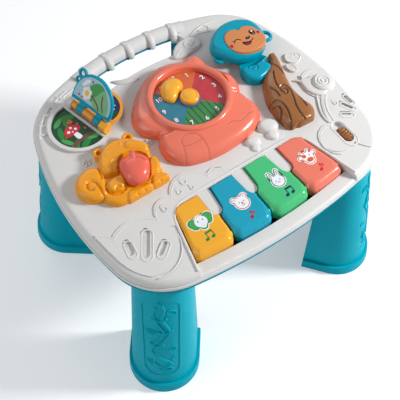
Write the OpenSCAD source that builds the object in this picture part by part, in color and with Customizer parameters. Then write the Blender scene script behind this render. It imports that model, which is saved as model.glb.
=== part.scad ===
// Musical activity table for a toddler.
// Frame: X to the child's right, Y away from the child, Z up. The origin is on the floor
// under the middle of the table. All lengths are in millimetres, all angles in degrees.
// The values below are counted from the deck's own origin, in front of it by frame_y.

/* [Deck] */
// Half of the deck's width
deck_half_w = 185; // [178:1:192]
// Reach of the deck in front of the origin
deck_front = 166; // [162:1:172]
// Reach of the deck behind the origin
deck_back = 167; // [162:1:172]
// Bow radius of the front edge
bow_front = 755; // [680:5:900]
// Bow radius of the side edges
bow_side = 378; // [350:1:420]
// Bow radius of the back edge
bow_back = 321; // [300:1:350]
// Corner radius at the front
corner_front_r = 72; // [66:1:78]
// Corner radius at the back
corner_back_r = 81; // [75:1:87]
// Where the deck is widest, from the origin
widest_y = -28; // [-34:1:-22]
// Height of the white rim's lower edge above the floor
rim_z = 220; // [200:1:240]
// Height of the deck's top above the rim's lower edge
deck_rise = 14; // [13:0.5:16]
// Wall of the moulded shells
wall = 2.6; // [2.2:0.1:3]
// Rounding of the deck's shoulder
shoulder_r = 8; // [6:0.5:9]
// Height of the band along the rim's lower edge
rim_band_h = 4.5; // [3:0.5:6]
// How far the band stands out
rim_step = 1.2; // [0.8:0.1:1.6]

/* [Lower housing] */
// Depth of the tray below the rim
tray_depth = 24; // [23:0.5:28]
// Height of the band that shows under the rim
skirt_h = 8; // [6:0.5:9]
// How far the tray's wall is set in from the outline
tray_inset = 13; // [11:0.5:15]
// How far the skirt is set in from the outline
skirt_inset = 1.6; // [1.2:0.1:2.2]

/* [Keys] */
// Spacing of the keys at their backs, as a share of the deck's half width
key_share_back = 0.254; // [0.244:0.002:0.26]
// Spacing of the keys at their fronts, as a share of the deck's half width
key_share_front = 0.281; // [0.271:0.002:0.287]
// Extra spread of the outer keys' outer back corners, less than a pitch
key_outer_trim = 6; // [3:0.5:8]
// Back edge of the keys
key_back_y = -75; // [-77:0.5:-73]
// Width of the white ledge in front of the keys
ledge_w = 18; // [16:0.5:20]
// Height of the ledge below the deck
ledge_drop = 8; // [7:0.5:8.5]
// Gap round every key
key_gap = 1.4; // [1.2:0.1:1.8]
// Height of the keys' tops above the deck
key_rise = 3; // [2:0.5:4]
// Rounding of a key's front nose
key_nose_r = 10; // [8:0.5:11]
// Rounding along a key's sides
key_side_r = 5; // [3:0.5:5.5]
// Depth of a key's skirt below the ledge's underside
key_skirt = 2.4; // [1.5:0.1:2.6]
// Angle a key goes down
key_press = 3.5; // [2.5:0.1:3.5]
// Width of a divider at the deck
divider_w = 17; // [15:0.5:18]
// Width of a divider at its tip
divider_tip_w = 14; // [12:0.5:15]
// Reach of a divider from the deck's edge
divider_len = 34; // [30:0.5:36]
// Diameter of the keys' axle
key_axle_d = 4; // [3:0.5:4.5]
// Distance of the axle behind the keys' back edge
key_axle_set = 13; // [12:0.5:14]
// Depth of the axle below the deck's top
key_axle_drop = 10; // [9:0.5:10.5]

/* [Clock] */
// Clock centre, to the right of the origin
clock_x = 11; // [8:0.5:14]
// Clock centre, behind the origin
clock_y = 33; // [30:0.5:36]
// Outer radius of the clock's ring
clock_ring_r = 49; // [47:0.5:51]
// Radius of the dial
dial_r = 42.4; // [41:0.2:43]
// Height of the ring's top above the deck
clock_h = 21; // [19:0.5:23]
// Depth of the dial below the ring's top
dial_drop = 8.5; // [8:0.5:10]
// Radius of the housing at the deck
clock_foot_r = 69; // [66:0.5:71]
// Radius of the hand's hub
hub_r = 11; // [10:0.5:12]
// Distance of the hand's lobe from the hub
lobe_reach = 21.5; // [20:0.5:22]
// Diameter of the clock's spindle
clock_spindle_d = 6; // [5:0.5:7]

/* [Monkey and tree trunk] */
// Monkey head centre, to the right of the origin
monkey_x = 108; // [105:0.5:111]
// Monkey head centre, behind the origin
monkey_y = 66; // [63:0.5:69]
// Radius of the monkey head
monkey_r = 33; // [31:0.5:34]
// Height of the monkey head above the deck
monkey_h = 29; // [27:0.5:31]
// Gap between the deck and the head
monkey_lift = 9.5; // [9:0.5:11]
// Radius of the monkey's face
face_r = 21; // [19:0.5:22]
// Thickness of the trunk above the deck at its foot
trunk_h = 16; // [14:0.5:18]

/* [Squirrel and acorn] */
// Acorn centre, to the right of the origin
acorn_x = -95; // [-97:0.5:-93]
// Acorn centre, behind the origin
acorn_y = -14; // [-16:0.5:-12]
// Radius of the acorn
acorn_r = 15; // [14:0.5:16]
// Travel of the acorn button
acorn_travel = 2.5; // [2:0.25:3]
// Height of the squirrel's head above the deck
squirrel_h = 22; // [20:0.5:24]

/* [Flip book] */
// Hinge centre, to the right of the origin
book_x = -96; // [-98:0.5:-94]
// Hinge centre, behind the origin
book_y = 84; // [82:0.5:86]
// How far the hinge is turned from the Y axis
book_turn = 13.5; // [10:0.5:16]
// Height of the hinge rod above the deck
book_rod_h = 8; // [7.5:0.5:10]
// Diameter of the hinge rod
book_rod_d = 4; // [3:0.5:4.5]
// Radius of a page's round edge
page_r = 30; // [28:0.5:31]
// Distance of the round edge's centre from the rod
page_set = 14; // [12:0.5:15]
// Thickness of a page frame
page_t = 3; // [2.6:0.2:3.4]
// Width of a page frame
page_frame_w = 3.6; // [3:0.2:5]
// Angle of the raised teal page above the deck
page_teal_angle = 60; // [50:1:70]
// Angle of the orange page above the deck
page_orange_angle = -4; // [-5:0.5:4]

/* [Handle] */
// Radius of the bamboo handle bar
handle_r = 10.5; // [9.5:0.5:11.5]
// Set-back of the bar's centre line from the back edge
handle_set = 13; // [12:0.5:14]
// Depth of the hand hole, front to back
hand_hole_d = 31; // [28:0.5:33]
// Half angle of the hand hole about the back edge's centre
hand_hole_half = 10.5; // [9.5:0.25:11]
// Half angle of the handle bar
handle_half = 13.2; // [12.5:0.1:14]

/* [Legs] */
// Radius of a leg at its top
leg_top_r = 33; // [31:0.5:34]
// Radius of a leg at the floor
leg_foot_r = 41; // [38:0.5:43]
// How far a leg's foot stands out from its top
leg_splay = 21; // [16:1:24]
// Length of the straight flanks behind the round front
leg_flank = 16; // [12:1:20]
// Wall of a leg
leg_wall = 3; // [2.6:0.1:3.4]
// Height of the foot's lip
foot_lip_h = 15; // [12:0.5:18]
// How far the foot's lip stands out
foot_lip = 3.5; // [2:0.5:4]
// How far the leg's top is set in from the outline
leg_inset = 4.5; // [3.5:0.5:6]
// Direction of the front legs, from +X towards -Y
leg_front_dir = 52; // [45:1:56]
// Direction of the back legs, from +X towards +Y
leg_back_dir = 38; // [34:1:45]
// Depth of the plug in each leg
plug_h = 26; // [22:1:30]

/* [Volume switch] */
// Switch recess centre, to the right of the origin
switch_x = 134; // [132:0.5:136]
// Switch recess centre, behind the origin
switch_y = -101; // [-103:0.5:-99]
// Travel of the knob
switch_travel = 9; // [7:0.5:10]

/* [Hidden] */
$fn = 72;

// shared clearances
run_gap = 0.06;    // a shaft in its bore, on the radius
part_gap = 0.4;    // moulded pieces of different bodies
seat_gap = 0.2;    // pieces that are plugged together
eps = 0.01;
tuck = 0.15;       // how far an arc runs past a line that it would else be tangent to

deck_z = rim_z + deck_rise;
ledge_z = deck_z - ledge_drop;
tray_z = rim_z - tray_depth;
skirt_z = rim_z - skirt_h;
floor_z = tray_z + wall;
under_z = deck_z - wall;

// ---------- the outline: bowed sides joined by corner arcs ----------
c_front = [0, bow_front - deck_front];
c_back = [0, deck_back - bow_back];
c_side = [deck_half_w - bow_side, widest_y];

// the point at distance ra from a and rb from b, on the given side of the line ab
function meet(a, ra, b, rb, side) =
  let(d = norm(b - a), u = (b - a) / d, t = (ra*ra - rb*rb + d*d) / (2*d))
  a + t*u + side * sqrt(ra*ra - t*t) * [-u[1], u[0]];
function heading(a, b) = atan2(b[1] - a[1], b[0] - a[0]);

c_fr = meet(c_front, bow_front - corner_front_r, c_side, bow_side - corner_front_r, 1);
c_br = meet(c_back, bow_back - corner_back_r, c_side, bow_side - corner_back_r, -1);

// the right half as [centre, radius, from, to], from the front's middle to the back's
arcs = [
  [c_front, bow_front, -90, heading(c_front, c_fr)],
  [c_fr, corner_front_r, heading(c_front, c_fr), heading(c_side, c_fr)],
  [c_side, bow_side, heading(c_side, c_fr), heading(c_side, c_br)],
  [c_br, corner_back_r, heading(c_side, c_br), heading(c_back, c_br)],
  [c_back, bow_back, heading(c_back, c_br), 90]
];
// n points along each arc, without its end
function arc_points(a, inset, n) =
  [for (i = [0:n - 1]) let(t = a[2] + (a[3] - a[2]) * i / n)
    a[0] + (a[1] - inset) * [cos(t), sin(t)]];
function half_outline(inset, n) =
  concat([for (a = arcs) each arc_points(a, inset, n)], [[0, deck_back - inset]]);
// the same points on the left side, backwards, without the two on the middle line
function flip(points) =
  [for (i = [len(points) - 2:-1:1]) [-points[i][0], points[i][1]]];

core_inset = 20;      // the flat core's edge, inside the swept border
border_reach = 34;    // how far the swept border runs in

module sweep_arc(a) {
  translate(a[0]) rotate_extrude(start = a[2], angle = a[3] - a[2], $fn = 180)
    translate([a[1], 0]) children();
}

// sweeps a section (x: in from the outline, negative; y: height) round the outline
module sweep_border() {
  for (s = [0, 1]) mirror([s, 0, 0]) for (a = arcs) sweep_arc(a) children();
}

// an upright block inside the outline, with n straight steps along each arc
module prism(inset, n, z0, z1) {
  half = half_outline(inset, n);
  translate([0, 0, z0]) linear_extrude(z1 - z0) polygon(concat(half, flip(half)));
}

module core(z0, z1) { prism(core_inset, 2, z0, z1); }

module band(x0, x1, z0, z1) { translate([x0, z0]) square([x1 - x0, z1 - z0]); }

// ---------- small shared shapes ----------
// right half of a boss's section, with its upper edge rounded by e
module round_side(r, h, e) {
  square([r - e, h]);
  square([r, h - e]);
  intersection() {
    translate([r - e, h - e]) circle(e);
    square([r + 1, h + 1]);
  }
}

module pebble(r, h, e) { rotate_extrude() round_side(r, h, e); }

module long_pebble(p, q, r, h, e) {
  // a pebble drawn out on the deck from p to q
  length = norm(q - p);
  translate([p[0], p[1], deck_z]) rotate([0, 0, heading(p, q)]) {
    rotate_extrude(start = 90, angle = 180) round_side(r, h, e);
    translate([length, 0, 0]) rotate_extrude(start = -90, angle = 180) round_side(r, h, e);
    for (s = [0, 1]) mirror([0, s, 0]) rotate([90, 0, 90]) linear_extrude(length)
      round_side(r, h, e);
  }
}

module pill(p, q, r) {
  // a rod with round ends between two points, as one revolved piece
  v = q - p;
  length = norm(v);
  translate(p) rotate([0, acos(v[2]/length), atan2(v[1], v[0])]) rotate_extrude()
    intersection() {
      union() {
        translate([-r, 0]) square([2*r, length]);
        circle(r);
        translate([0, length]) circle(r);
      }
      translate([0, -r - 1]) square([r + 1, length + 2*r + 2]);
    }
}

module dome(r, h) {
  // a spherical cap of base radius r and height h
  sphere_r = (r*r + h*h) / (2*h);
  rotate_extrude() intersection() {
    translate([0, h - sphere_r]) circle(sphere_r, $fn = 180);
    square([r + 1, h + 1]);
  }
}

module capsule(length, d, h) {
  // an upright stadium along Y
  translate([-d/2, -(length - d)/2, 0]) cube([d, length - d, h]);
  for (s = [-1, 1]) translate([0, s * (length - d)/2, 0]) cylinder(d = d, h = h);
}

module tube(r_out, r_in, h) {
  difference() {
    cylinder(r = r_out, h = h);
    translate([0, 0, -1]) cylinder(r = r_in, h = h + 2);
  }
}

// ---------- keys: planforms ----------
key_pitch_back = key_share_back * deck_half_w;
key_pitch_front = key_share_front * deck_half_w;
nose_r = bow_front - ledge_w - key_gap;   // distance of the key fronts from the bow's centre
key_front_y = c_front[1] - nose_r;
outer_back = 2*key_pitch_back - key_outer_trim;
outer_front = 2*key_pitch_front + 1;
key_axle = [0, key_back_y + key_axle_set, deck_z - key_axle_drop];
key_top = deck_z + key_rise;
key_low = ledge_z - wall - key_skirt;

// x of boundary k, from 0 at the left to 4 at the right, at the backs and at the fronts
function edge_back(k) = k == 0 ? -outer_back : k == 4 ? outer_back : (k - 2) * key_pitch_back;
function edge_front(k) = k == 0 ? -outer_front : k == 4 ? outer_front : (k - 2) * key_pitch_front;
function edge_at(k, y) =
  edge_back(k) + (edge_front(k) - edge_back(k)) * (key_back_y - y) / (key_back_y - key_front_y);

far_y = key_front_y - 6;    // beyond the keys' fronts
outer_r = 16;               // rounding of the outer keys' back corners
outer_lean = (outer_front - outer_back) / (key_back_y - key_front_y);
outer_n = sqrt(1 + outer_lean*outer_lean);

module divider_plan(grow) {
  // a tongue between two keys, along its boundary line
  tip_y = key_back_y - divider_len + divider_tip_w/2;
  for (k = [1:3]) {
    tip_x = edge_at(k, tip_y);
    polygon([
      [edge_back(k) - divider_w/2 - grow, key_back_y + 8],
      [edge_back(k) - divider_w/2 - grow, key_back_y],
      [tip_x - divider_tip_w/2 - grow, tip_y],
      [tip_x + divider_tip_w/2 + grow, tip_y],
      [edge_back(k) + divider_w/2 + grow, key_back_y],
      [edge_back(k) + divider_w/2 + grow, key_back_y + 8]]);
    translate([tip_x, tip_y]) circle(divider_tip_w/2 + grow);
  }
}

// the four-sided field between boundaries a and b, grown by g on every side
module key_field(a, b, g, y_end) {
  ga = a == 0 ? g*outer_n : g;
  gb = b == 4 ? g*outer_n : g;
  y_back = key_back_y + g;
  polygon([
    [edge_at(a, y_back) - ga, y_back], [edge_at(b, y_back) + gb, y_back],
    [edge_at(b, y_end) + gb, y_end], [edge_at(a, y_end) - ga, y_end]]);
}

module outer_corner(side, g) {
  // what is cut from the outermost back corners to round them; the arc meets back and side
  // at a slight angle, because a true tangent leaves slivers
  reach = outer_r + 9;
  mirror([side > 0 ? 0 : 1, 0, 0])
    translate([outer_back + outer_lean*outer_r - outer_r*outer_n + tuck,
      key_back_y - outer_r + tuck])
      difference() {
        polygon([[0, 0], [reach/outer_n, reach*outer_lean/outer_n], [reach, reach], [0, reach]]);
        circle(outer_r + g);
      }
}

module bay_plan() {
  difference() {
    key_field(0, 4, key_gap/2, key_front_y - ledge_w - 9);
    outer_corner(-1, key_gap/2);
    outer_corner(1, key_gap/2);
  }
}

module bay_walls_plan(g) {
  difference() {
    key_field(0, 4, key_gap/2 + wall + g, key_front_y - ledge_w - 9);
    outer_corner(-1, key_gap/2 + wall + g);
    outer_corner(1, key_gap/2 + wall + g);
  }
}

module key_plan(k) {
  difference() {
    key_field(k, k + 1, -key_gap/2, far_y);
    divider_plan(key_gap/2);
    if (k == 0) outer_corner(-1, -key_gap/2);
    if (k == 3) outer_corner(1, -key_gap/2);
  }
}

module nose_section(front, top, low, r) {
  // seen from the bow's centre: the key's length runs along x, its height along y
  reach = front - (c_front[1] - key_back_y) + 3;
  translate([front - reach, low]) square([reach, top - low - r]);
  translate([front - reach, low]) square([reach - r, top - low]);
  translate([front - r, top - r]) circle(r);
}

module round_edge(p, q, r) {
  // a cutter that rounds the key's upper edge from p to q, material to its left
  length = norm(q - p) + 30;
  translate([p[0], p[1], key_top]) rotate([0, 0, heading(p, q)]) translate([-15, 0, 0])
    rotate([90, 0, 90]) linear_extrude(length) difference() {
      translate([-3, -r]) square([r + 3, r + 3]);
      translate([r, -r]) circle(r);
    }
}

key_wall = 2.2;
knuckle_r = key_axle_d/2 + 2.5;
knuckle_half = 10;
pad_y = key_front_y + 27;   // where the plungers meet the rubber pads
plunger_low = key_low - 5;

function key_mid(k, y) = (edge_at(k, y) + edge_at(k + 1, y)) / 2;
// the middle of a key's knuckle; the outer ones are moved in from the round corners
function hinge_x(k) = key_mid(k, key_back_y) + (k == 0 ? 4 : k == 3 ? -4 : 0);

module tongue_notches() {
  // ways for the keys' tongues through the bay's back wall
  for (k = [0:3])
    translate([hinge_x(k) - knuckle_half - part_gap, key_back_y - 7, rim_z - 1])
      cube([2*(knuckle_half + part_gap), 17, key_axle[2] + knuckle_r - rim_z + 1]);
}

module key(k) {
  a = k;
  b = k + 1;
  hollow_back = key_back_y - divider_len - key_gap - key_wall;
  difference() {
    union() {
      intersection() {
        translate(c_front) rotate_extrude(start = -104, angle = 28, $fn = 180)
          nose_section(nose_r, key_top, key_low, key_nose_r);
        translate([0, 0, key_low - 1]) linear_extrude(key_top - key_low + 2) key_plan(k);
      }
      // tongue under the deck's edge, and the knuckle on the axle
      translate([hinge_x(k) - knuckle_half, key_back_y - 6, key_low])
        cube([2*knuckle_half, key_axle_set + 6, knuckle_r + key_axle[2] - key_low - 1]);
      translate([hinge_x(k) - knuckle_half, key_axle[1], key_axle[2]])
        rotate([0, 90, 0]) cylinder(r = knuckle_r, h = 2*knuckle_half);
    }
    // hollow below
    translate([0, 0, key_low - 1]) linear_extrude(key_top - key_low - key_wall + 1) polygon([
      [edge_at(a, hollow_back) + key_gap/2 + key_wall, hollow_back],
      [edge_at(b, hollow_back) - key_gap/2 - key_wall, hollow_back],
      [edge_at(b, key_front_y + 14) - key_gap/2 - key_wall, key_front_y + 14],
      [edge_at(a, key_front_y + 14) + key_gap/2 + key_wall, key_front_y + 14]]);
    round_edge([edge_at(a, far_y) + key_gap/2, far_y], [edge_back(a) + key_gap/2, key_back_y],
      key_side_r, $fn = 48);
    mirror([1, 0, 0])
      round_edge([-edge_at(b, far_y) + key_gap/2, far_y], [-edge_back(b) + key_gap/2, key_back_y],
        key_side_r, $fn = 48);
    translate([hinge_x(k) - knuckle_half - 1, key_axle[1], key_axle[2]])
      rotate([0, 90, 0]) cylinder(d = key_axle_d + 2*run_gap, h = 2*knuckle_half + 2);
  }
  // plunger over the rubber pad
  translate([key_mid(k, pad_y), pad_y, plunger_low])
    cylinder(r = 3.5, h = key_top - key_wall - plunger_low + eps);
}

module key_1() { color("#EBA92C") key(0); }
module key_2() { color("#00AFC4") key(1); }
module key_3() { color("#4BC07F") key(2); }
module key_4() { color("#E8795F") key(3); }

axle_half = outer_back - 2;
module key_axle() {
  color("silver") translate([-axle_half, key_axle[1], key_axle[2]])
    rotate([0, 90, 0]) cylinder(d = key_axle_d, h = 2*axle_half);
}

module axle_lugs() {
  // hangers under the deck that carry the axle between the keys
  lug_half = 3;
  for (x = [-axle_half + lug_half + 1, -key_pitch_back, 0, key_pitch_back, axle_half - lug_half - 1])
    difference() {
      translate([x - lug_half, key_axle[1] - 4.5, key_axle[2] - 4.5])
        cube([2*lug_half, 9, under_z - key_axle[2] + 4.5 + eps]);
      translate([x - lug_half - 1, key_axle[1], key_axle[2]])
        rotate([0, 90, 0]) cylinder(d = key_axle_d + 2*run_gap, h = 2*lug_half + 2);
    }
}

// ---------- legs ----------
leg_seat = 0.3;    // how far a leg's top is let into the skirt
leg_h = skirt_z + leg_seat;
leg_lean = atan(leg_splay / leg_h);
plug_low = skirt_z - plug_h;
function leg_top(c, r, dir) = c + (r - leg_inset - leg_top_r) * [cos(dir), sin(dir)];

// stands a child that is drawn round the leg's own axis (x outward) at its place
module at_leg(front, left) {
  dir = front ? -leg_front_dir : leg_back_dir;
  top = front ? leg_top(c_fr, corner_front_r, dir) : leg_top(c_br, corner_back_r, dir);
  mirror([left ? 1 : 0, 0, 0]) translate(top) rotate([0, 0, dir]) children();
}

// the round-fronted, straight-flanked form between two heights, grown by g
module leg_form(g, z0, z1, flank) {
  over = 20;
  slope = (leg_foot_r - leg_top_r) / leg_h;
  r_low = leg_foot_r + slope*over + g;
  r_high = leg_top_r - slope*over + g;
  length = (leg_h + 2*over) / cos(leg_lean);
  intersection() {
    translate([0, 0, leg_h]) rotate([0, -leg_lean, 0])
      translate([0, 0, -(leg_h + over)/cos(leg_lean)]) {
        cylinder(r1 = r_low, r2 = r_high, h = length, $fn = 96);
        rotate([90, 0, -90]) linear_extrude(2*flank + 20)
          polygon([[-r_low, 0], [r_low, 0], [r_high, length], [-r_high, length]]);
      }
    translate([-flank, -60, z0]) cube([130, 120, z1 - z0]);
  }
}

module leg() {
  rib_t = 3;
  color("#00AFC4") difference() {
    union() {
      leg_form(0, 0, leg_h, leg_flank);
      leg_form(foot_lip, 0, foot_lip_h, leg_flank);
    }
    leg_form(-leg_wall, -1, plug_low - rib_t, leg_flank + 1);
    leg_form(-leg_wall, plug_low, leg_h + 1, leg_flank + 1);
    // inset panel on the outer face
    difference() {
      intersection() {
        leg_form(1, 0, leg_h, leg_flank);
        leg_panel(0);
      }
      leg_form(-0.8, -1, leg_h + 1, leg_flank);
    }
    // hole for the leg's screw, in the rib under the plug
    translate([0, 0, leg_h]) rotate([0, -leg_lean, 0])
      translate([0, 0, -plug_h - 12]) cylinder(r = 2, h = 14);
  }
}

panel_half = 21;
panel_low = 34;
panel_high = 190;
panel_corner_r = 16;
module leg_panel(g) {
  // a window with round corners, looking out from the leg's axis
  rotate([90, 0, 90]) linear_extrude(90) {
    h = panel_high - panel_low;
    translate([-panel_half - g + panel_corner_r, panel_low - g])
      square([2*(panel_half + g - panel_corner_r), h + 2*g]);
    translate([-panel_half - g, panel_low - g + panel_corner_r])
      square([2*(panel_half + g), h + 2*g - 2*panel_corner_r]);
    for (sx = [-1, 1], z = [panel_low - g + panel_corner_r, panel_high + g - panel_corner_r])
      translate([sx * (panel_half + g - panel_corner_r), z]) circle(panel_corner_r);
  }
}

module leg_front_left() { at_leg(true, true) leg(); }
module leg_front_right() { at_leg(true, false) leg(); }
module leg_back_left() { at_leg(false, true) leg(); }
module leg_back_right() { at_leg(false, false) leg(); }

module each_leg() {
  for (front = [true, false], left = [true, false]) at_leg(front, left) children();
}

module leg_screws() {
  color("silver") each_leg()
    translate([0, 0, leg_h]) rotate([0, -leg_lean, 0]) translate([0, 0, -plug_h - 3.2]) {
      translate([0, 0, -2.8]) cylinder(r = 3.6, h = 2.2);
      translate([0, 0, -0.7]) cylinder(r = 1.5, h = 12.7);
    }
}

// ---------- handle ----------
handle_path_r = bow_back - handle_set;
handle_z = rim_z + 8;
hole_far = handle_path_r - handle_r;
hole_near = hole_far - hand_hole_d;
ring_step = 5.8;            // angle between the bamboo's joints

// a ring sector about the back edge's centre, symmetric about Y
module back_sector(half) {
  translate(c_back) rotate_extrude(start = 90 - half, angle = 2*half, $fn = 180) children();
}

module hand_hole(g, z0, z1) {
  // round-ended, bent slot under the hand
  mid = (hole_far + hole_near) / 2;
  back_sector(hand_hole_half) band(hole_near - g, hole_far + g, z0, z1);
  for (s = [-1, 1]) translate(c_back) rotate([0, 0, 90 + s*hand_hole_half])
    translate([mid, 0, z0]) cylinder(r = (hole_far - hole_near)/2 + g + tuck, h = z1 - z0);
}

module bar_half(upper) {
  // one moulded half of the bamboo bar with its raised joints
  module half(r, r_in) {
    translate([handle_path_r, handle_z]) intersection() {
      difference() { circle(r); circle(r_in); }
      translate([-r - 1, upper ? 0 : -r - 1]) square([2*r + 2, r + 1]);
    }
  }
  // plain stretches between the joints, and the joints themselves
  n = upper ? 2 : 1;
  ends = handle_half + (upper ? 1.5 : 0);
  starts = [for (k = [-n - 1:n]) k < -n ? -ends : k*ring_step + 0.5];
  stops = [for (k = [-n:n + 1]) k > n ? ends : k*ring_step - 0.5];
  translate(c_back) {
    for (i = [0:2*n + 1])
      rotate_extrude(start = 90 + starts[i], angle = stops[i] - starts[i], $fn = 180)
        half(handle_r, handle_r - wall);
    for (k = [-n:n]) rotate_extrude(start = 89.5 + k*ring_step, angle = 1, $fn = 360)
      half(handle_r + 1.3, handle_r - wall);
  }
}

module behind_bar(z0, z1) {
  // everything of the plain rim that the bar replaces
  back_sector(handle_half) band(hole_far - eps, bow_back + 5, z0, z1);
}

module end_walls(z0, z1, reach_out) {
  // closes the shell where the bar starts
  for (s = [0, 1]) mirror([s, 0, 0]) translate(c_back)
    rotate_extrude(start = 90 + handle_half, angle = 0.5, $fn = 180)
      band(hole_far - 4, bow_back - reach_out, z0, z1);
}

// ---------- top cover ----------
shoulder_steps = 5;
// the shoulder's quarter round from the side up to the deck, as a chain of points
function shoulder(r) = [for (i = [0:shoulder_steps])
  [-rim_step - shoulder_r, deck_z - shoulder_r]
    + r * [cos(90*i/shoulder_steps), sin(90*i/shoulder_steps)]];

module cover_section() {
  polygon(concat(
    [[-border_reach, rim_z], [0, rim_z], [0, rim_z + rim_band_h],
     [-rim_step, rim_z + rim_band_h]],
    shoulder(shoulder_r), [[-border_reach, deck_z]]));
}

module cavity_section() {
  polygon(concat(
    [[-border_reach - 1, rim_z - 1], [-rim_step - wall, rim_z - 1]],
    shoulder(shoulder_r - wall), [[-border_reach - 1, under_z]]));
}

module ledge_section() {
  // the low rim in front of the keys
  low_r = 4;
  difference() {
    union() {
      band(-rim_step - wall, 0, rim_z, rim_z + rim_band_h - 1);
      band(-ledge_w, -rim_step, rim_z, ledge_z - low_r);
      band(-ledge_w, -rim_step - low_r, rim_z, ledge_z);
      intersection() {
        translate([-rim_step - low_r, ledge_z - low_r]) circle(low_r);
        band(-ledge_w, 0, rim_z, ledge_z);
      }
    }
    band(-ledge_w + wall - eps, -rim_step - wall, rim_z - 1, ledge_z - wall);
    band(-ledge_w - 1, -ledge_w + wall, rim_z - 1, ledge_z - wall - 1.4);
  }
}

// local frame of the flip book: x across the pages, y along the rod
module at_book() { translate([book_x, book_y, 0]) rotate([0, 0, book_turn]) children(); }

panel_rim_h = 4;
panel_rim_w = 4.5;
panel_r = 33.5;
panel_set = 15;
panel_edge = 7;       // straight edge of the picture, from the rod
rod_half = 30;
post_t = 5;

module half_moon(r, set, edge, side) {
  // a round plate cut off by a straight edge beside the rod
  intersection() {
    translate([side*set, 0]) circle(r, $fn = 96);
    translate([side > 0 ? edge : -edge - 2*r - set, -r - 1]) square([2*r + set, 2*r + 2]);
  }
}

module book_post(y) {
  // an ear that carries the rod; its foot stands on the deck
  translate([-5, y, deck_z - 1]) cube([10, post_t, book_rod_h + 0.5]);
  translate([0, y, deck_z + book_rod_h]) rotate([-90, 0, 0])
    cylinder(r = 5 + tuck, h = post_t);
}

clock_foot_z = deck_z + clock_h - dial_drop;

// spots for the housing's screws
screw_spots = [[-150, 0], [150, 0], [-52, 92], [70, 92], [-25, -52], [25, -52]];
boss_r = 4.5;
boss_low = rim_z - 12;

module rod_bore(y0, length) {
  translate([0, y0, deck_z + book_rod_h]) rotate([-90, 0, 0])
    cylinder(d = book_rod_d + 2*run_gap, h = length);
}

// ---------- raised pads and recesses of the deck ----------
pad_h = 1.2;
// lobes of the pads: place and radius
pad_lobes = [
  [-138, -96, 37], [-89, -75, 20], [-55, -68, 27], [-24, -74, 18], [-176, -69, 15],
  [195, -92, 66], [123, -102, 21], [160, -26, 22]];
// small round dots on the lobes: place and radius
pad_dots = [[-58, -49, 3.4], [-54, -60, 2.4], [-69, -57, 2.9], [-95, -66, 3.2], [154, -60, 2.4]];
// recesses: place, length, width and turn
slot_spots = [
  [-135.5, -92.5, 37, 10.5, -34], [-153, -87, 21, 8.5, -11], [-124, -107, 21, 8.5, -53],
  [170.5, -65.5, 17, 4.5, 3], [163, -72.5, 19, 5, 25], [154, -81.5, 15, 5.5, 53]];

module deck_pads() {
  // cloud-edged pads round the key bay, a little above the deck
  intersection() {
    prism(rim_step + shoulder_r - 0.4, 8, deck_z - 1.5, deck_z + pad_h);
    for (p = pad_lobes) translate([p[0], p[1], deck_z - 1]) cylinder(r = p[2], h = pad_h + 2);
  }
  for (p = pad_dots) translate([p[0], p[1], deck_z - 1]) cylinder(r = p[2], h = pad_h + 1.6);
}

module deck_slots() {
  for (p = slot_spots) translate([p[0], p[1], deck_z - 1]) rotate([0, 0, p[4]])
    capsule(p[2], p[3], 6);
}

switch_slot_l = 32;
switch_slot_w = 13;
switch_floor = deck_z - 3.2;

module switch_cut() {
  translate([switch_x, switch_y, switch_floor]) capsule(switch_slot_l, switch_slot_w, 9);
  translate([switch_x, switch_y, under_z - 9]) capsule(switch_travel + 9, 5, 20);
}

module switch_well() {
  translate([switch_x, switch_y, switch_floor - wall])
    capsule(switch_slot_l + 2*wall, switch_slot_w + 2*wall, deck_z - switch_floor + wall - 0.5);
}

monkey_spindle_r = 6;

module top_cover() {
  color("#E4E3E0") difference() {
    union() {
      difference() {
        union() {
          sweep_border() cover_section();
          core(rim_z, deck_z);
          deck_pads();
        }
        difference() {
          union() {
            sweep_border() cavity_section();
            core(rim_z - 1, under_z);
          }
          translate([0, 0, rim_z - 2]) linear_extrude(deck_rise + 4) bay_walls_plan(0);
          hand_hole(wall, rim_z - 2, deck_z + 2);
        }
        translate([0, 0, rim_z - 3]) linear_extrude(deck_rise + 9) bay_plan();
        behind_bar(rim_z - 1, deck_z + 5);
      }
      // low rim in front of the keys
      intersection() {
        for (s = [0, 1]) mirror([s, 0, 0]) sweep_arc(arcs[0]) ledge_section();
        translate([0, 0, rim_z - 1]) linear_extrude(deck_rise) bay_walls_plan(0);
      }
      // dividers
      translate([0, 0, ledge_z]) linear_extrude(ledge_drop) divider_plan(-key_gap/2);
      axle_lugs();
      end_walls(rim_z, deck_z, rim_step + 4);
      bar_half(true);
      switch_well();
      // screw posts
      for (p = screw_spots) translate([p[0], p[1], boss_low])
        cylinder(r = boss_r, h = under_z - boss_low + eps);
      // flip book: raised edge of the picture, and the ears of the rod
      at_book() {
        translate([0, 0, deck_z - 1]) linear_extrude(panel_rim_h + 1) difference() {
          half_moon(panel_r + panel_rim_w, panel_set, panel_edge, -1);
          half_moon(panel_r, panel_set, panel_edge + 2, -1);
        }
        book_post(rod_half - post_t);
      }
      // guide of the acorn's stem
      translate([acorn_x, acorn_y, under_z - 8]) cylinder(r = 9, h = 9);
    }
    hand_hole(0, rim_z - 3, deck_z + 9);
    tongue_notches();
    deck_slots();
    switch_cut();
    for (p = screw_spots) translate([p[0], p[1], boss_low - 1]) cylinder(r = 1.4, h = 18);
    at_book() rod_bore(-rod_half - 1, 2*rod_half + 2);
    translate([acorn_x, acorn_y, under_z - 10]) cylinder(r = stem_r + run_gap, h = 20);
    translate([monkey_x, monkey_y, under_z - 1])
      cylinder(r = monkey_spindle_r + run_gap, h = wall + 2);
  }
}

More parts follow.
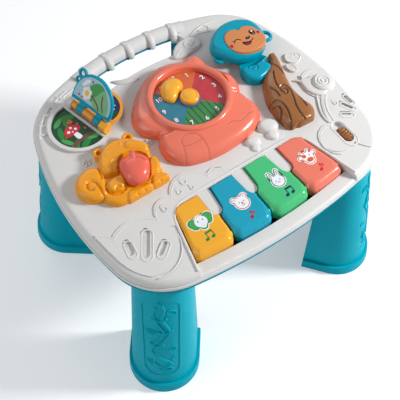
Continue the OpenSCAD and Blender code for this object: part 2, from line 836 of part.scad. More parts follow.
// ---------- lower housing ----------
tongue_gap = 0.3;
pocket_top = skirt_z + wall + 0.6;    // top of the ceiling over a leg's pocket
module housing_section() {
  inner = rim_step + wall;
  band(-inner - tongue_gap - wall, -skirt_inset, skirt_z, rim_z);
  band(-inner - tongue_gap - wall, -inner - tongue_gap, rim_z - eps, rim_z + 5);
  band(-tray_inset - wall, -skirt_inset, skirt_z, skirt_z + wall);
  band(-tray_inset - wall, -tray_inset, tray_z, skirt_z + wall);
  band(-border_reach, -tray_inset, tray_z, floor_z);
}

battery_x = 10;
battery_y = 40;
cell_d = 14.5;
cell_l = 50.5;
cell_pitch = 15.5;
box_w = cell_l + 10;
box_d = 3*cell_pitch + 4;
box_h = 18;
door_w = box_w + 8;
door_d = box_d + 12;
door_screw_y = battery_y + door_d/2 - 3.4;
speaker_x = 92;
speaker_y = 2;
speaker_r = 26;
speaker_h = 15;
board_z = tray_z + 8;
board_t = 1.6;

module board_posts() {
  for (s = [-1, 1], y = [pad_y - 8, pad_y + 14])
    translate([s*(board_half - 5), y, floor_z - eps])
      cylinder(r = 3, h = board_z - floor_z + eps);
}

module lower_housing() {
  color("#0097A8") difference() {
    union() {
      difference() {
        union() {
          sweep_border() housing_section();
          core(tray_z, floor_z);
          // walls round the legs' pockets
          intersection() {
            prism(tray_inset + wall/2, 6, tray_z, pocket_top);
            each_leg() leg_form(1 + wall, tray_z - 1, pocket_top + 1, leg_flank + 1 + wall);
          }
          // collar of the hand hole
          difference() {
            hand_hole(wall, tray_z, rim_z);
            hand_hole(0, tray_z - 1, rim_z + 1);
          }
        }
        each_leg() leg_form(1, tray_z - 2, leg_h, leg_flank + 1);
        behind_bar(tray_z - 1, rim_z + 9);
        // the tongue stops at the key bay and at the bar
        translate([0, 0, rim_z]) linear_extrude(deck_rise) bay_walls_plan(tongue_gap);
        back_sector(handle_half + 0.7) band(hole_far - eps, bow_back + 5, rim_z, deck_z);
      }
      // plugs in the legs
      each_leg() leg_form(-leg_wall - seat_gap, plug_low, leg_h + 1, leg_flank - 2);
      end_walls(tray_z, rim_z, tray_inset);
      end_walls(skirt_z, rim_z, skirt_inset + 2);
      bar_half(false);
      board_posts();
      // screw tubes
      for (p = screw_spots) translate([p[0], p[1], tray_z])
        cylinder(r = boss_r + 1.5, h = boss_low - tray_z - seat_gap);
      // seat ring of the speaker
      translate([speaker_x, speaker_y, floor_z - eps])
        tube(speaker_r + seat_gap + 2, speaker_r + seat_gap, 6);
      // collar round the battery box
      translate([battery_x - door_w/2 - 2, battery_y - door_d/2 - 2, tray_z])
        cube([door_w + 4, door_d + 4, 4.5]);
    }
    hand_hole(0, tray_z - 2, rim_z + 12);
    for (p = screw_spots) translate([p[0], p[1], tray_z - 1]) {
      cylinder(r = 1.9, h = 40);
      cylinder(r = 4.2, h = 6);
    }
    // openings of the battery box and its door
    translate([battery_x - box_w/2 - seat_gap, battery_y - box_d/2 - seat_gap, tray_z - 1])
      cube([box_w + 2*seat_gap, box_d + 2*seat_gap, 20]);
    translate([battery_x - door_w/2 - part_gap, battery_y - door_d/2 - part_gap, tray_z - 1])
      cube([door_w + 2*part_gap, door_d + 2*part_gap, wall + 1]);
    translate([battery_x, door_screw_y, tray_z]) cylinder(r = 1.5 + run_gap, h = 9);
    // sound slots under the speaker
    for (i = [-2:2]) translate([speaker_x + 7*i, speaker_y, tray_z - 1])
      capsule(36 - 4*abs(i), 3, wall + 2);
    // pilot holes of the legs' screws
    each_leg() translate([0, 0, leg_h]) rotate([0, -leg_lean, 0])
      translate([0, 0, -plug_h - 3]) cylinder(r = 1.5 + run_gap, h = 13);
  }
}

// ---------- clock ----------
module clock_shell(g) {
  // the animal's rounded body: ring cone, lower body, lobes and ears, grown by g
  translate([clock_x, clock_y, deck_z])
    cylinder(r1 = clock_foot_r + g, r2 = clock_ring_r + 2 + g, h = clock_h - 2 + g);
  long_pebble([-27, -12], [40, -14], 29 + g, 15 + g, 11);
  translate([50, 79, deck_z]) dome(17 + g, 14 + g);
  translate([63, 42, deck_z]) dome(19 + g, 9 + g);
}

module clock_housing() {
  dial_z = clock_foot_z;
  color("#E8795F") difference() {
    union() {
      clock_shell(0);
      translate([clock_x, clock_y, deck_z + clock_h - 6]) pebble(clock_ring_r, 6, 3);
    }
    // hollow inside
    intersection() {
      clock_shell(-wall);
      translate([-100, -80, deck_z - 1]) cube([240, 220, dial_z - deck_z - wall + 1]);
    }
    translate([clock_x, clock_y, dial_z]) cylinder(r = dial_r + seat_gap, h = 30);
    translate([clock_x, clock_y, deck_z])
      cylinder(d = clock_spindle_d + 2*run_gap, h = 40);
  }
}

dial_t = 1;
module clock_dial() {
  color("#C8313F") translate([clock_x, clock_y, clock_foot_z]) difference() {
    cylinder(r = dial_r, h = dial_t);
    translate([0, 0, -1]) cylinder(d = clock_spindle_d + 2*part_gap, h = dial_t + 2);
  }
}

hand_z = clock_foot_z + dial_t + part_gap;
module clock_hand() {
  lobe_a = 124;    // where the lobe points, from +X
  color("#F2B02C") translate([clock_x, clock_y, hand_z]) difference() {
    union() {
      pebble(hub_r, 7, 3);
      rotate([0, 0, lobe_a]) hull() {
        translate([lobe_reach + 3, 7, 0]) pebble(9.5, 8, 4, $fn = 32);
        translate([lobe_reach + 3, -7, 0]) pebble(9.5, 8, 4, $fn = 32);
        translate([lobe_reach - 8, 0, 0]) pebble(8, 8, 4, $fn = 32);
      }
    }
    translate([0, 0, -1]) cylinder(d = clock_spindle_d, h = 4);
  }
}

wheel_z = deck_z + 2;
module clock_spindle() {
  color("silver") translate([clock_x, clock_y, deck_z + 1])
    cylinder(d = clock_spindle_d, h = hand_z + 3 - deck_z - 1);
}

wheel_r = 12;
wheel_t = 2.4;
wheel_teeth = 24;
module click_wheel() {
  color("white") translate([clock_x, clock_y, wheel_z]) difference() {
    cylinder(r = wheel_r, h = wheel_t);
    for (i = [0:wheel_teeth - 1]) rotate([0, 0, (i + 0.5)*360/wheel_teeth])
      translate([wheel_r + 0.3, 0, -1]) cylinder(r = 1, h = wheel_t + 2, $fn = 24);
    translate([0, 0, -1]) cylinder(d = clock_spindle_d, h = wheel_t + 2);
  }
}

module click_spring() {
  // a bent leaf on a foot that stands on the deck
  color("silver") translate([clock_x, clock_y + wheel_r + part_gap, deck_z]) {
    translate([-12, 0, 1.4]) cube([24, 0.8, wheel_t]);
    translate([-14, 0, 0]) cube([3, 6, 5]);
  }
}

// ---------- monkey and trunk ----------
head_z = deck_z + monkey_lift;
head_h = monkey_h - monkey_lift;
face_t = 2.4;
ear_spots = [[-24.5, -21], [31.5, -9]];

module monkey_head() {
  cap_r = (monkey_r*monkey_r + head_h*head_h) / (2*head_h);
  color("#00A9BE") translate([monkey_x, monkey_y, head_z]) difference() {
    union() {
      dome(monkey_r, head_h);
      // collar that turns on the deck
      translate([0, 0, -monkey_lift + part_gap]) cylinder(r = 19, h = monkey_lift);
      // ears
      for (e = ear_spots) translate([e[0], e[1], 0]) pebble(8.5, 9, 3);
    }
    for (e = ear_spots) translate([e[0]*1.1, e[1]*1.1, 4]) cylinder(r = 4.2, h = 9);
    // pocket of the face
    translate([face_shift, face_shift_y, head_h - face_t - 0.6]) cylinder(r = face_r + seat_gap, h = 30);
    translate([0, 0, -monkey_lift - 1]) cylinder(r = monkey_spindle_r, h = 12);
  }
}

face_shift = 3;
face_shift_y = 1.5;
module monkey_face() {
  color("#D98F5F") translate([monkey_x + face_shift, monkey_y + face_shift_y,
    head_z + head_h - face_t - 0.6]) pebble(face_r, face_t, 1);
}

module monkey_spindle() {
  color("white") translate([monkey_x, monkey_y, 0]) {
    translate([0, 0, under_z - 3]) cylinder(r = monkey_spindle_r, h = head_z - under_z + 3 + 1);
    translate([0, 0, under_z - 3]) cylinder(r = 9, h = 3 - part_gap);
  }
}

module monkey_arm() {
  color("#00A9BE") difference() {
    union() {
      hull() {
        translate([98, 30, deck_z]) pebble(13, 9, 5, $fn = 32);
        translate([106, 34, deck_z]) pebble(10.5, 8.6, 5, $fn = 32);
        translate([100, 42, deck_z]) pebble(14, 9, 5, $fn = 32);
      }
    }
    translate([monkey_x, monkey_y, deck_z]) cylinder(r = 19 + part_gap, h = 20);
  }
}

// trunk axis on the deck, from its top to its foot: place and radius
trunk_top = [131, 34, 9];
trunk_foot = [105, -45, 20];
module tree_trunk() {
  v = [trunk_foot[0] - trunk_top[0], trunk_foot[1] - trunk_top[1]];
  length = norm(v);
  turn = atan2(v[1], v[0]);
  flat = trunk_foot[2] - trunk_h;
  color("#9B642F") difference() {
    intersection() {
      union() {
        translate([trunk_top[0], trunk_top[1], deck_z - flat]) rotate([0, 90, turn])
          cylinder(r1 = trunk_top[2], r2 = trunk_foot[2], h = length);
        translate([trunk_foot[0], trunk_foot[1], deck_z - flat]) sphere(r = trunk_foot[2]);
        translate([trunk_top[0], trunk_top[1], deck_z - flat]) sphere(r = trunk_top[2]);
      }
      translate([50, -90, deck_z]) cube([120, 160, 40]);
    }
    translate([monkey_x, monkey_y, deck_z - 1]) cylinder(r = monkey_r + 1.5, h = 40);
  }
}

// ---------- squirrel and acorn ----------
stem_r = 4;
acorn_z = deck_z + 13;     // underside of the acorn at rest
module squirrel_form() {
  head_r = 21;
  // head
  translate([-101, 9, deck_z + squirrel_h - head_r]) sphere(r = head_r);
  for (p = [[-117, 26], [-84, 27]]) translate([p[0], p[1], deck_z]) pebble(6.5, 15, 3);
  // body and feet
  translate([-110, -20, deck_z]) dome(27, 13);
  pill([-124, -35, deck_z - 1], [-104, -34, deck_z - 1], 9.5);
  pill([-99, -33, deck_z - 1], [-79, -29, deck_z - 1], 9.5);
  // hands
  for (p = [[-121, -14], [-77, -4]]) translate([p[0], p[1], deck_z + 3]) sphere(r = 9);
  // tail: a thick curl with a lower middle
  translate([-145, -3, deck_z]) {
    rotate_extrude() translate([10, 0]) circle(8.5);
    cylinder(r = 8, h = 6);
  }
}

module squirrel() {
  color("#F2A51E") difference() {
    intersection() {
      squirrel_form();
      translate([-190, -80, deck_z]) cube([150, 160, 60]);
    }
    // pocket of the acorn
    translate([acorn_x, acorn_y, acorn_z - acorn_travel - 1.5])
      cylinder(r = acorn_r + part_gap, h = 30);
    translate([acorn_x, acorn_y, deck_z - 1]) cylinder(r = stem_r + part_gap, h = 30);
  }
}

lamp_z = under_z - 24;
module acorn_button() {
  color("#E8795F") translate([acorn_x, acorn_y, acorn_z]) {
    pebble(acorn_r, 6, 3.5);
    dome(acorn_r - 2, 10.5);
    // stem through its guide
    translate([0, 0, -(acorn_z - under_z) - 11]) cylinder(r = stem_r, h = acorn_z - under_z + 12);
  }
}

module acorn_pad() {
  // small board on legs with a rubber dome
  color("#3B3B3B") translate([acorn_x, acorn_y, 0]) {
    translate([0, 0, under_z - 11 - acorn_travel - 0.4 - 5]) cylinder(r1 = 7, r2 = 4.5, h = 5);
    translate([0, 0, under_z - 11 - acorn_travel - 0.4 - 6]) cylinder(r = 9, h = 1.2);
  }
}

module acorn_lamp() {
  // light board that carries the dome, on two posts of the housing
  z = under_z - 11 - acorn_travel - 0.4 - 6 - 1.6;
  color("#2F7D4F") translate([acorn_x - 15, acorn_y - 11, z]) cube([30, 22, 1.6]);
  color("#2F7D4F") for (s = [-1, 1]) translate([acorn_x + 12*s, acorn_y, floor_z])
    cylinder(r = 2.5, h = z - floor_z + eps);
}

// ---------- flip book ----------
knuckle_out = book_rod_d/2 + 2.6;
page_edge = 7.8;      // straight edge of a page, from the rod, clear of the end block
// knuckles along the rod: [from, to]
teal_knuckles = [[7.5, 16.5], [-19, -10]];
orange_knuckles = [[17.2, rod_half - post_t - 0.6], [-9.3, 6.8]];
card_t = 0.8;
tab_out = 11.6;       // the finger tab's centre, beyond the page's radius

module at_page(angle) {
  at_book() translate([0, 0, deck_z + book_rod_h]) rotate([0, -angle, 0]) children();
}

module page_frame(knuckles) {
  difference() {
    union() {
      translate([0, 0, -page_t/2]) linear_extrude(page_t) difference() {
        half_moon(page_r, page_set, page_edge, 1);
        half_moon(page_r - page_frame_w, page_set, page_edge + page_frame_w, 1);
      }
      // the web that holds the card's edge
      translate([0, 0, -card_t/2 - 0.5]) linear_extrude(0.5) difference() {
        half_moon(page_r - 1, page_set, page_edge + 1, 1);
        half_moon(page_r - page_frame_w - 1.5, page_set, page_edge + page_frame_w + 1.5, 1);
      }
      // finger tab
      rotate([0, 0, 40]) translate([page_r + tab_out, 0, -page_t/2]) cylinder(r = 5, h = page_t);
      for (k = knuckles) {
        translate([0, k[0], 0]) rotate([-90, 0, 0]) cylinder(r = knuckle_out, h = k[1] - k[0]);
        translate([0, k[0], -page_t/2]) cube([page_edge + 2, k[1] - k[0], page_t]);
      }
    }
    rotate([0, 0, 40]) translate([page_r + tab_out, 0, -page_t]) cylinder(r = 2.6, h = 2*page_t);
    translate([0, -rod_half, 0]) rotate([-90, 0, 0])
      cylinder(d = book_rod_d + 2*run_gap, h = 2*rod_half);
  }
}

module page_card() {
  translate([0, 0, -card_t/2]) linear_extrude(card_t)
    half_moon(page_r - page_frame_w - seat_gap/2, page_set,
      page_edge + page_frame_w + seat_gap/2, 1);
}

module page_teal_frame() { color("#18B4C8") at_page(page_teal_angle) page_frame(teal_knuckles); }
module page_teal_card() { color("#9CCBE0") at_page(page_teal_angle) page_card(); }
module page_orange_frame() { color("#F29A1E") at_page(page_orange_angle) page_frame(orange_knuckles); }
module page_orange_card() { color("#1B2B5A") at_page(page_orange_angle) page_card(); }

module book_panel() {
  color("#1E6B3A") at_book() translate([0, 0, deck_z]) linear_extrude(1)
    half_moon(panel_r - seat_gap, panel_set, panel_edge + 2 + seat_gap, -1);
}

module book_rod() {
  color("white") at_book() translate([0, -rod_half, deck_z + book_rod_h]) rotate([-90, 0, 0])
    cylinder(d = book_rod_d, h = 2*rod_half - 1);
}

cap_l = 10;
module book_cap() {
  // six-sided end block that stands on the deck and closes the hinge
  color("#F2B02C") at_book() difference() {
    union() {
      translate([0, -rod_half - 1, deck_z + book_rod_h]) rotate([-90, 30, 0])
        cylinder(r = 7, h = cap_l, $fn = 6);
      translate([-4, -rod_half - 1, deck_z]) cube([8, cap_l, book_rod_h - 3]);
    }
    translate([0, -rod_half, deck_z + book_rod_h]) rotate([-90, 0, 0])
      cylinder(d = book_rod_d + 2*run_gap, h = 20);
  }
}

// ---------- volume switch ----------
knob_l = 20;
knob_w = 10;
module switch_knob() {
  y = switch_y - switch_travel/2;
  color("#8A5A2B") translate([switch_x, y, 0]) {
    translate([0, 0, switch_floor + part_gap]) difference() {
      capsule(knob_l, knob_w, 5);
      for (i = [-2:2]) translate([-10, i*3.4 - 0.6, 4]) cube([20, 1.2, 4]);
    }
    translate([-1.5, -3, under_z - 8]) cube([3, 6, switch_floor - under_z + 9]);
  }
}

module slide_switch() {
  color("silver") translate([switch_x, switch_y, switch_floor - wall - 9]) difference() {
    translate([-6, -13, 0]) cube([12, 26, 9]);
    translate([-2.2, -9, 2]) cube([4.4, 18, 9]);
  }
}

// ---------- inside ----------
pad_base_r = 6;       // foot of a rubber pad
board_half = key_mid(3, pad_y) + pad_base_r + part_gap;
board_d = 34;
module circuit_board() {
  color("#2F7D4F") translate([-board_half, pad_y - 14, board_z])
    cube([2*board_half, board_d, board_t]);
}

module key_pads() {
  pad_top = plunger_low - 60*sin(key_press) - 0.3;
  color("#3B3B3B") {
    translate([-board_half + seat_gap, pad_y - 9, board_z + board_t])
      cube([2*(board_half - seat_gap), 18, 1]);
    for (k = [0:3]) translate([key_mid(k, pad_y), pad_y, board_z + board_t])
      cylinder(r1 = pad_base_r, r2 = 4.5, h = pad_top - board_z - board_t);
  }
}

module speaker() {
  color("#2B2B2B") translate([speaker_x, speaker_y, floor_z]) {
    cylinder(r = speaker_r, h = 3);
    translate([0, 0, 3 - eps]) cylinder(r1 = speaker_r - 2, r2 = 14, h = 6);
    translate([0, 0, 9 - 2*eps]) cylinder(r = 13, h = speaker_h - 9);
  }
}

module battery_box() {
  color("#0097A8") translate([battery_x, battery_y, tray_z + wall]) difference() {
    translate([-box_w/2, -box_d/2, 0]) cube([box_w, box_d, box_h]);
    translate([-box_w/2 + 1.6, -box_d/2 + 1.6, -1]) cube([box_w - 3.2, box_d - 3.2, box_h - 0.8]);
  }
}

cell_z = tray_z + wall + 0.6 + cell_d/2;
module battery_cell(i) {
  color("#2E4E7E") translate([battery_x - cell_l/2, battery_y + (i - 2)*cell_pitch, cell_z])
    rotate([0, 90, 0]) {
      cylinder(d = cell_d, h = cell_l - 1.5);
      cylinder(d = 5.5, h = cell_l);
    }
}
module battery_cell_1() { battery_cell(1); }
module battery_cell_2() { battery_cell(2); }
module battery_cell_3() { battery_cell(3); }

module battery_contacts() {
  gap = (box_w - 3.2 - cell_l) / 2;
  color("silver") for (s = [0, 1], i = [1:3])
    translate([battery_x + (s == 0 ? -cell_l/2 - gap : cell_l/2), battery_y + (i - 2)*cell_pitch - 5,
      cell_z - 5]) cube([gap, 10, 10]);
}

module battery_door() {
  color("#0097A8") translate([battery_x, battery_y, tray_z]) difference() {
    translate([-door_w/2, -door_d/2, 0]) cube([door_w, door_d, wall - seat_gap]);
    translate([0, door_screw_y - battery_y, -1]) cylinder(r = 1.7, h = 9);
  }
}

module door_screw() {
  color("silver") translate([battery_x, door_screw_y, tray_z - 1.2]) {
    cylinder(r = 2.8, h = 1.2);
    cylinder(r = 1.5, h = 5);
  }
}

module housing_screws() {
  color("silver") for (p = screw_spots) translate([p[0], p[1], tray_z + 5]) {
    translate([0, 0, -2]) cylinder(r = 3.4, h = 2);
    translate([0, 0, -eps]) cylinder(r = 1.35, h = 17);
  }
}

// the feet reach further to the front than to the back, so the table's middle isn't the deck's
frame_y = 4;
module placed() { translate([0, frame_y, 0]) children(); }

placed() top_cover();
placed() lower_housing();
placed() leg_front_left();
placed() leg_front_right();
placed() leg_back_left();
placed() leg_back_right();
placed() key_1();
placed() key_2();
placed() key_3();
placed() key_4();
placed() key_axle();
placed() key_pads();
placed() circuit_board();
placed() clock_housing();
placed() clock_dial();
placed() clock_hand();
placed() clock_spindle();
placed() click_wheel();
placed() click_spring();
placed() monkey_head();
placed() monkey_face();
placed() monkey_spindle();
placed() monkey_arm();
placed() tree_trunk();
placed() squirrel();
placed() acorn_button();
placed() acorn_pad();
placed() acorn_lamp();
placed() book_panel();
placed() book_rod();
placed() book_cap();
placed() page_teal_frame();
placed() page_teal_card();
placed() page_orange_frame();
placed() page_orange_card();
placed() switch_knob();
placed() slide_switch();
placed() speaker();
placed() battery_box();
placed() battery_cell_1();
placed() battery_cell_2();
placed() battery_cell_3();
placed() battery_contacts();
placed() battery_door();
placed() door_screw();
placed() housing_screws();
placed() leg_screws();
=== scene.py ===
# %% [markdown]
# # A musical activity table, dressed for its portrait
# The moving frame of the table is already built: every piece has its size, its place and its
# joint. This notebook gives the frame its moulded plastic, its soft animal shapes and its prints.
# All lengths in the tables below are millimetres, seen from above: x to the child's right,
# y away from the child, z up from the floor.

# %% load the frame
import bpy
import bmesh
import math
import numpy as np
from mathutils import Matrix, Vector


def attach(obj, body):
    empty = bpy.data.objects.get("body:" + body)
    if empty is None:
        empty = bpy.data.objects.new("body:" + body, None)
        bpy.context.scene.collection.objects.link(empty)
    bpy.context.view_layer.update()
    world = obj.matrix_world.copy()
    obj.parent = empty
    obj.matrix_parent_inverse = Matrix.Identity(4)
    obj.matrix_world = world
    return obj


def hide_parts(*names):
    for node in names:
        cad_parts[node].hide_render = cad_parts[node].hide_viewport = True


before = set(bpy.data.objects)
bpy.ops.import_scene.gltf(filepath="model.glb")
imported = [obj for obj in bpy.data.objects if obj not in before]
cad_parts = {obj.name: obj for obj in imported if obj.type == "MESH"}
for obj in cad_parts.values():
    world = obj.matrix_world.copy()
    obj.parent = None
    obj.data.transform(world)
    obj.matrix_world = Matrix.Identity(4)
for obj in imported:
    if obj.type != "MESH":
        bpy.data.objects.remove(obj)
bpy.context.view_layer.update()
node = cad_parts
MM = 0.001
DECK = 234.0          # top of the white deck
KEY_TOP = 237.0       # top of a key

# %% [markdown]
# ## The camera
# A product picture is taken from far away with a long lens, so that the table hardly tapers.
# A camera can be aimed with a Track To constraint, but its three axes are known here, so they
# are written straight into its matrix. The shift stays zero.

# %% camera
RIGHT = np.array([0.81249, -0.58283, 0.01297])
UP = np.array([0.48496, 0.68807, 0.53979])
BACK = np.array([-0.32353, -0.43229, 0.84170])
EYE = np.array([-358.4, -481.6, 1020.7]) * MM
lens = bpy.data.cameras.new("portrait_lens")
lens.sensor_width = 36.0
lens.lens = 76.65
lens.clip_start, lens.clip_end = 0.05, 20.0
camera = bpy.data.objects.new("portrait_camera", lens)
bpy.context.scene.collection.objects.link(camera)
stand = np.eye(4)
stand[:3] = np.column_stack([RIGHT, UP, BACK, EYE])
camera.matrix_world = Matrix(stand.tolist())
bpy.context.scene.camera = camera
bpy.context.scene.view_settings.view_transform = "Standard"
print("camera", EYE.round(3), "lens", lens.lens)

# %% [markdown]
# ## Light and floor
# One lamp, a quarter of a metre wide, stands at the right and in front. It throws the legs' long
# shadows to the left, with fairly clear edges. Two broad weak lamps fill from the left and from
# behind. The world is plain white for the camera, for mirrors and for glass, and dimmer for the
# light that it gives. A sun lamp would be simpler, but glossy plastic shows it as a hard dot,
# where a lamp with a real size gives a soft highlight.

# %% lamps
def lamp(name, place, aim, width, watts):
    """A square area lamp of one side width at place, facing the point aim, in metres."""
    data = bpy.data.lights.new(name, "AREA")
    data.shape, data.size, data.energy = "SQUARE", width, watts
    ob = bpy.data.objects.new(name, data)
    ob.location = place
    ob.rotation_mode = "QUATERNION"
    ob.rotation_quaternion = (Vector(aim) - Vector(place)).to_track_quat("-Z", "Y")
    bpy.context.scene.collection.objects.link(ob)
    return ob

lamps = [lamp("window", (0.98, -0.70, 0.98), (0, 0, 0.15), 0.24, 21),
         lamp("fill", (-1.7, 0.2, 1.1), (0, 0, 0.2), 1.2, 9),
         lamp("rim", (0.2, 1.6, 1.5), (0, 0, 0.25), 1.0, 5)]
print(len(lamps), "lamps")

# %% world
WORLD_LIGHT = 0.3                    # strength of the light that the world gives
WORLD_TINT = (0.95, 0.97, 1.0, 1)
WHITE = (1, 1, 1, 1)

def seen(tree):
    """A socket that is 1 for rays from the camera, a mirror or glass, and 0 for all others."""
    path = tree.nodes.new("ShaderNodeLightPath")
    socket = path.outputs["Is Camera Ray"]
    for kind in ("Is Glossy Ray", "Is Transmission Ray"):
        either = tree.nodes.new("ShaderNodeMath")
        either.operation = "MAXIMUM"
        tree.links.new(socket, either.inputs[0])
        tree.links.new(path.outputs[kind], either.inputs[1])
        socket = either.outputs[0]
    return socket

def glow(tree, colour, strength):
    """The output of a background shader of one colour."""
    made = tree.nodes.new("ShaderNodeBackground")
    made.inputs["Color"].default_value = colour
    made.inputs["Strength"].default_value = strength
    return made.outputs[0]

world = bpy.data.worlds.new("studio")
bpy.context.scene.world = world
world.use_nodes = True
air = world.node_tree
air.nodes.clear()
blend = air.nodes.new("ShaderNodeMixShader")
air.links.new(seen(air), blend.inputs["Fac"])
air.links.new(glow(air, WORLD_TINT, WORLD_LIGHT), blend.inputs[1])
air.links.new(glow(air, WHITE, 1.0), blend.inputs[2])
air.links.new(blend.outputs[0], air.nodes.new("ShaderNodeOutputWorld").inputs["Surface"])
print("world", world.name)

# %% floor
FLOOR_HALF = 6.0                     # metres
FLOOR_DROP = 0.0002                  # metres under the feet
NEAR, FAR = 0.8, 2.4                 # metres from the table's middle
NEAR_GLOW, FAR_GLOW = 0.33, 0.8      # the sweep of paper stays white in the distance

def floor_sheet(half):
    """A flat square of side 2*half, a hair below z = 0."""
    corners = np.array([[-1, -1], [1, -1], [1, 1], [-1, 1]]) * half
    mesh = bpy.data.meshes.new("floor")
    mesh.from_pydata(np.column_stack([corners, np.full(4, -FLOOR_DROP)]).tolist(), [], [(0, 1, 2, 3)])
    ob = bpy.data.objects.new("floor", mesh)
    bpy.context.scene.collection.objects.link(ob)
    return ob

def studio_paper():
    """Matt white paper. Its own glow shows to the eye, to mirrors and to glass, and grows with
    the distance from the table, so that it lights nothing and leaves the shadows as they are."""
    paper = bpy.data.materials.new("studio_paper")
    paper.use_nodes = True
    tree = paper.node_tree
    coat = tree.nodes["Principled BSDF"]
    coat.inputs["Base Color"].default_value = (0.8, 0.8, 0.81, 1)
    coat.inputs["Roughness"].default_value = 0.95
    coat.inputs["Specular IOR Level"].default_value = 0.1
    coat.inputs["Emission Color"].default_value = (0.97, 0.985, 1, 1)
    distance = tree.nodes.new("ShaderNodeVectorMath")
    distance.operation = "LENGTH"
    tree.links.new(tree.nodes.new("ShaderNodeTexCoord").outputs["Object"], distance.inputs[0])
    sweep = tree.nodes.new("ShaderNodeMapRange")
    for socket, value in (("From Min", NEAR), ("From Max", FAR), ("To Min", NEAR_GLOW),
                          ("To Max", FAR_GLOW)):
        sweep.inputs[socket].default_value = value
    tree.links.new(distance.outputs["Value"], sweep.inputs["Value"])
    lift = tree.nodes.new("ShaderNodeMath")
    lift.operation = "MULTIPLY"
    tree.links.new(seen(tree), lift.inputs[0])
    tree.links.new(sweep.outputs["Result"], lift.inputs[1])
    tree.links.new(lift.outputs[0], coat.inputs["Emission Strength"])
    return paper

floor = floor_sheet(FLOOR_HALF)
floor.data.materials.append(studio_paper())
print("floor", 2 * FLOOR_HALF, "m wide")

# %% [markdown]
# ## Finishes
# Nearly everything here is injection-moulded ABS. Up close such plastic isn't one flat colour:
# the pigment drifts a little, the skin has a fine orange peel, and its gloss varies where hands
# have rubbed it. A picture could carry all that, but noise textures on object coordinates do
# it without a picture and at the right scale on every piece.

# %% moulded plastic
def srgb(code):
    """The linear colour of a #RRGGBB code, by the standard curve."""
    c = np.array([int(code[i:i + 2], 16) for i in (1, 3, 5)]) / 255
    return tuple(np.where(c <= 0.04045, c / 12.92, ((c + 0.055) / 1.055) ** 2.4)) + (1.0,)

def shade(colour, k):
    """The same colour, k times as bright."""
    return tuple(min(1.0, v * k) for v in colour[:3]) + (1.0,)

CLOUDS, RUBBED, PEEL, GRAIN = 22.0, 160.0, 700.0, 1500.0     # noise scales, in features a metre
NOISE_SPAN = (0.3, 0.7)              # where most of a noise's values lie

class Nodes:
    """A material's node tree with short calls for adding and joining nodes."""
    def __init__(self, name):
        self.material = bpy.data.materials.new(name)
        self.material.use_nodes = True
        self.tree = self.material.node_tree
        self.skin = self.tree.nodes["Principled BSDF"]
        self.where = self.add("ShaderNodeTexCoord").outputs["Object"]
    def add(self, kind, **facts):
        """A new node of one kind, with its settings."""
        made = self.tree.nodes.new(kind)
        for key, value in facts.items():
            setattr(made, key, value)
        return made
    def join(self, a, b):
        """Links output a to input b."""
        self.tree.links.new(a, b)
    def noise(self, scale, detail=2.0):
        """Noise with features of about 1/scale metres."""
        n = self.add("ShaderNodeTexNoise")
        n.inputs["Scale"].default_value = scale
        n.inputs["Detail"].default_value = detail
        self.join(self.where, n.inputs["Vector"])
        return n.outputs["Fac"]
    def remap(self, value, low, high, span=NOISE_SPAN):
        """Spreads the values of span onto low..high, held at the ends."""
        m = self.add("ShaderNodeMapRange")
        for key, v in zip(("From Min", "From Max", "To Min", "To Max"), (*span, low, high)):
            m.inputs[key].default_value = v
        self.join(value, m.inputs["Value"])
        return m.outputs["Result"]
    def mix(self, fac, one, two):
        """one where fac is 0 and two where it is 1; each is a colour or a socket."""
        m = self.add("ShaderNodeMix", data_type="RGBA")
        self.join(fac, m.inputs["Factor"])
        for socket, v in ((m.inputs["A"], one), (m.inputs["B"], two)):
            if isinstance(v, tuple):
                socket.default_value = v
            else:
                self.join(v, socket)
        return m.outputs["Result"]
    def bump(self, height, strength, depth):
        """Roughens the skin by a height of 0 to 1, depth metres deep."""
        b = self.add("ShaderNodeBump")
        b.inputs["Strength"].default_value = strength
        b.inputs["Distance"].default_value = depth
        self.join(height, b.inputs["Height"])
        self.join(b.outputs["Normal"], self.skin.inputs["Normal"])

# painted shade: the colour at the bottom of a pressed line is darkened to this share
PAINTED_GROOVE_SHADE = 0.16                  # brightness at the bottom of a pressed line
PEEL_DEPTH = 0.00005                 # metres

def moulded(name, code, gloss, peel, drift=0.03, groove=None, shine=0.3):
    """ABS plastic: drifting pigment, varying gloss and a fine orange peel.
    Where the point attribute named by groove is 1, the colour darkens: painted shade in pressed lines."""
    m = Nodes(name)
    base = srgb(code)
    clouds = m.remap(m.noise(CLOUDS, 3.0), 0.0, 1.0)
    colour = m.mix(clouds, shade(base, 1 - drift), shade(base, 1 + drift))
    # painted shade in pressed lines, read from the point attribute
    if groove:
        mark = m.add("ShaderNodeAttribute", attribute_name=groove)
        colour = m.mix(mark.outputs["Fac"], colour, shade(base, PAINTED_GROOVE_SHADE))
    m.join(colour, m.skin.inputs["Base Color"])
    m.join(m.remap(m.noise(RUBBED, 2.0), gloss - 0.05, gloss + 0.07), m.skin.inputs["Roughness"])
    m.skin.inputs["Specular IOR Level"].default_value = shine
    m.bump(m.noise(PEEL, 1.0), peel, PEEL_DEPTH)
    return m.material

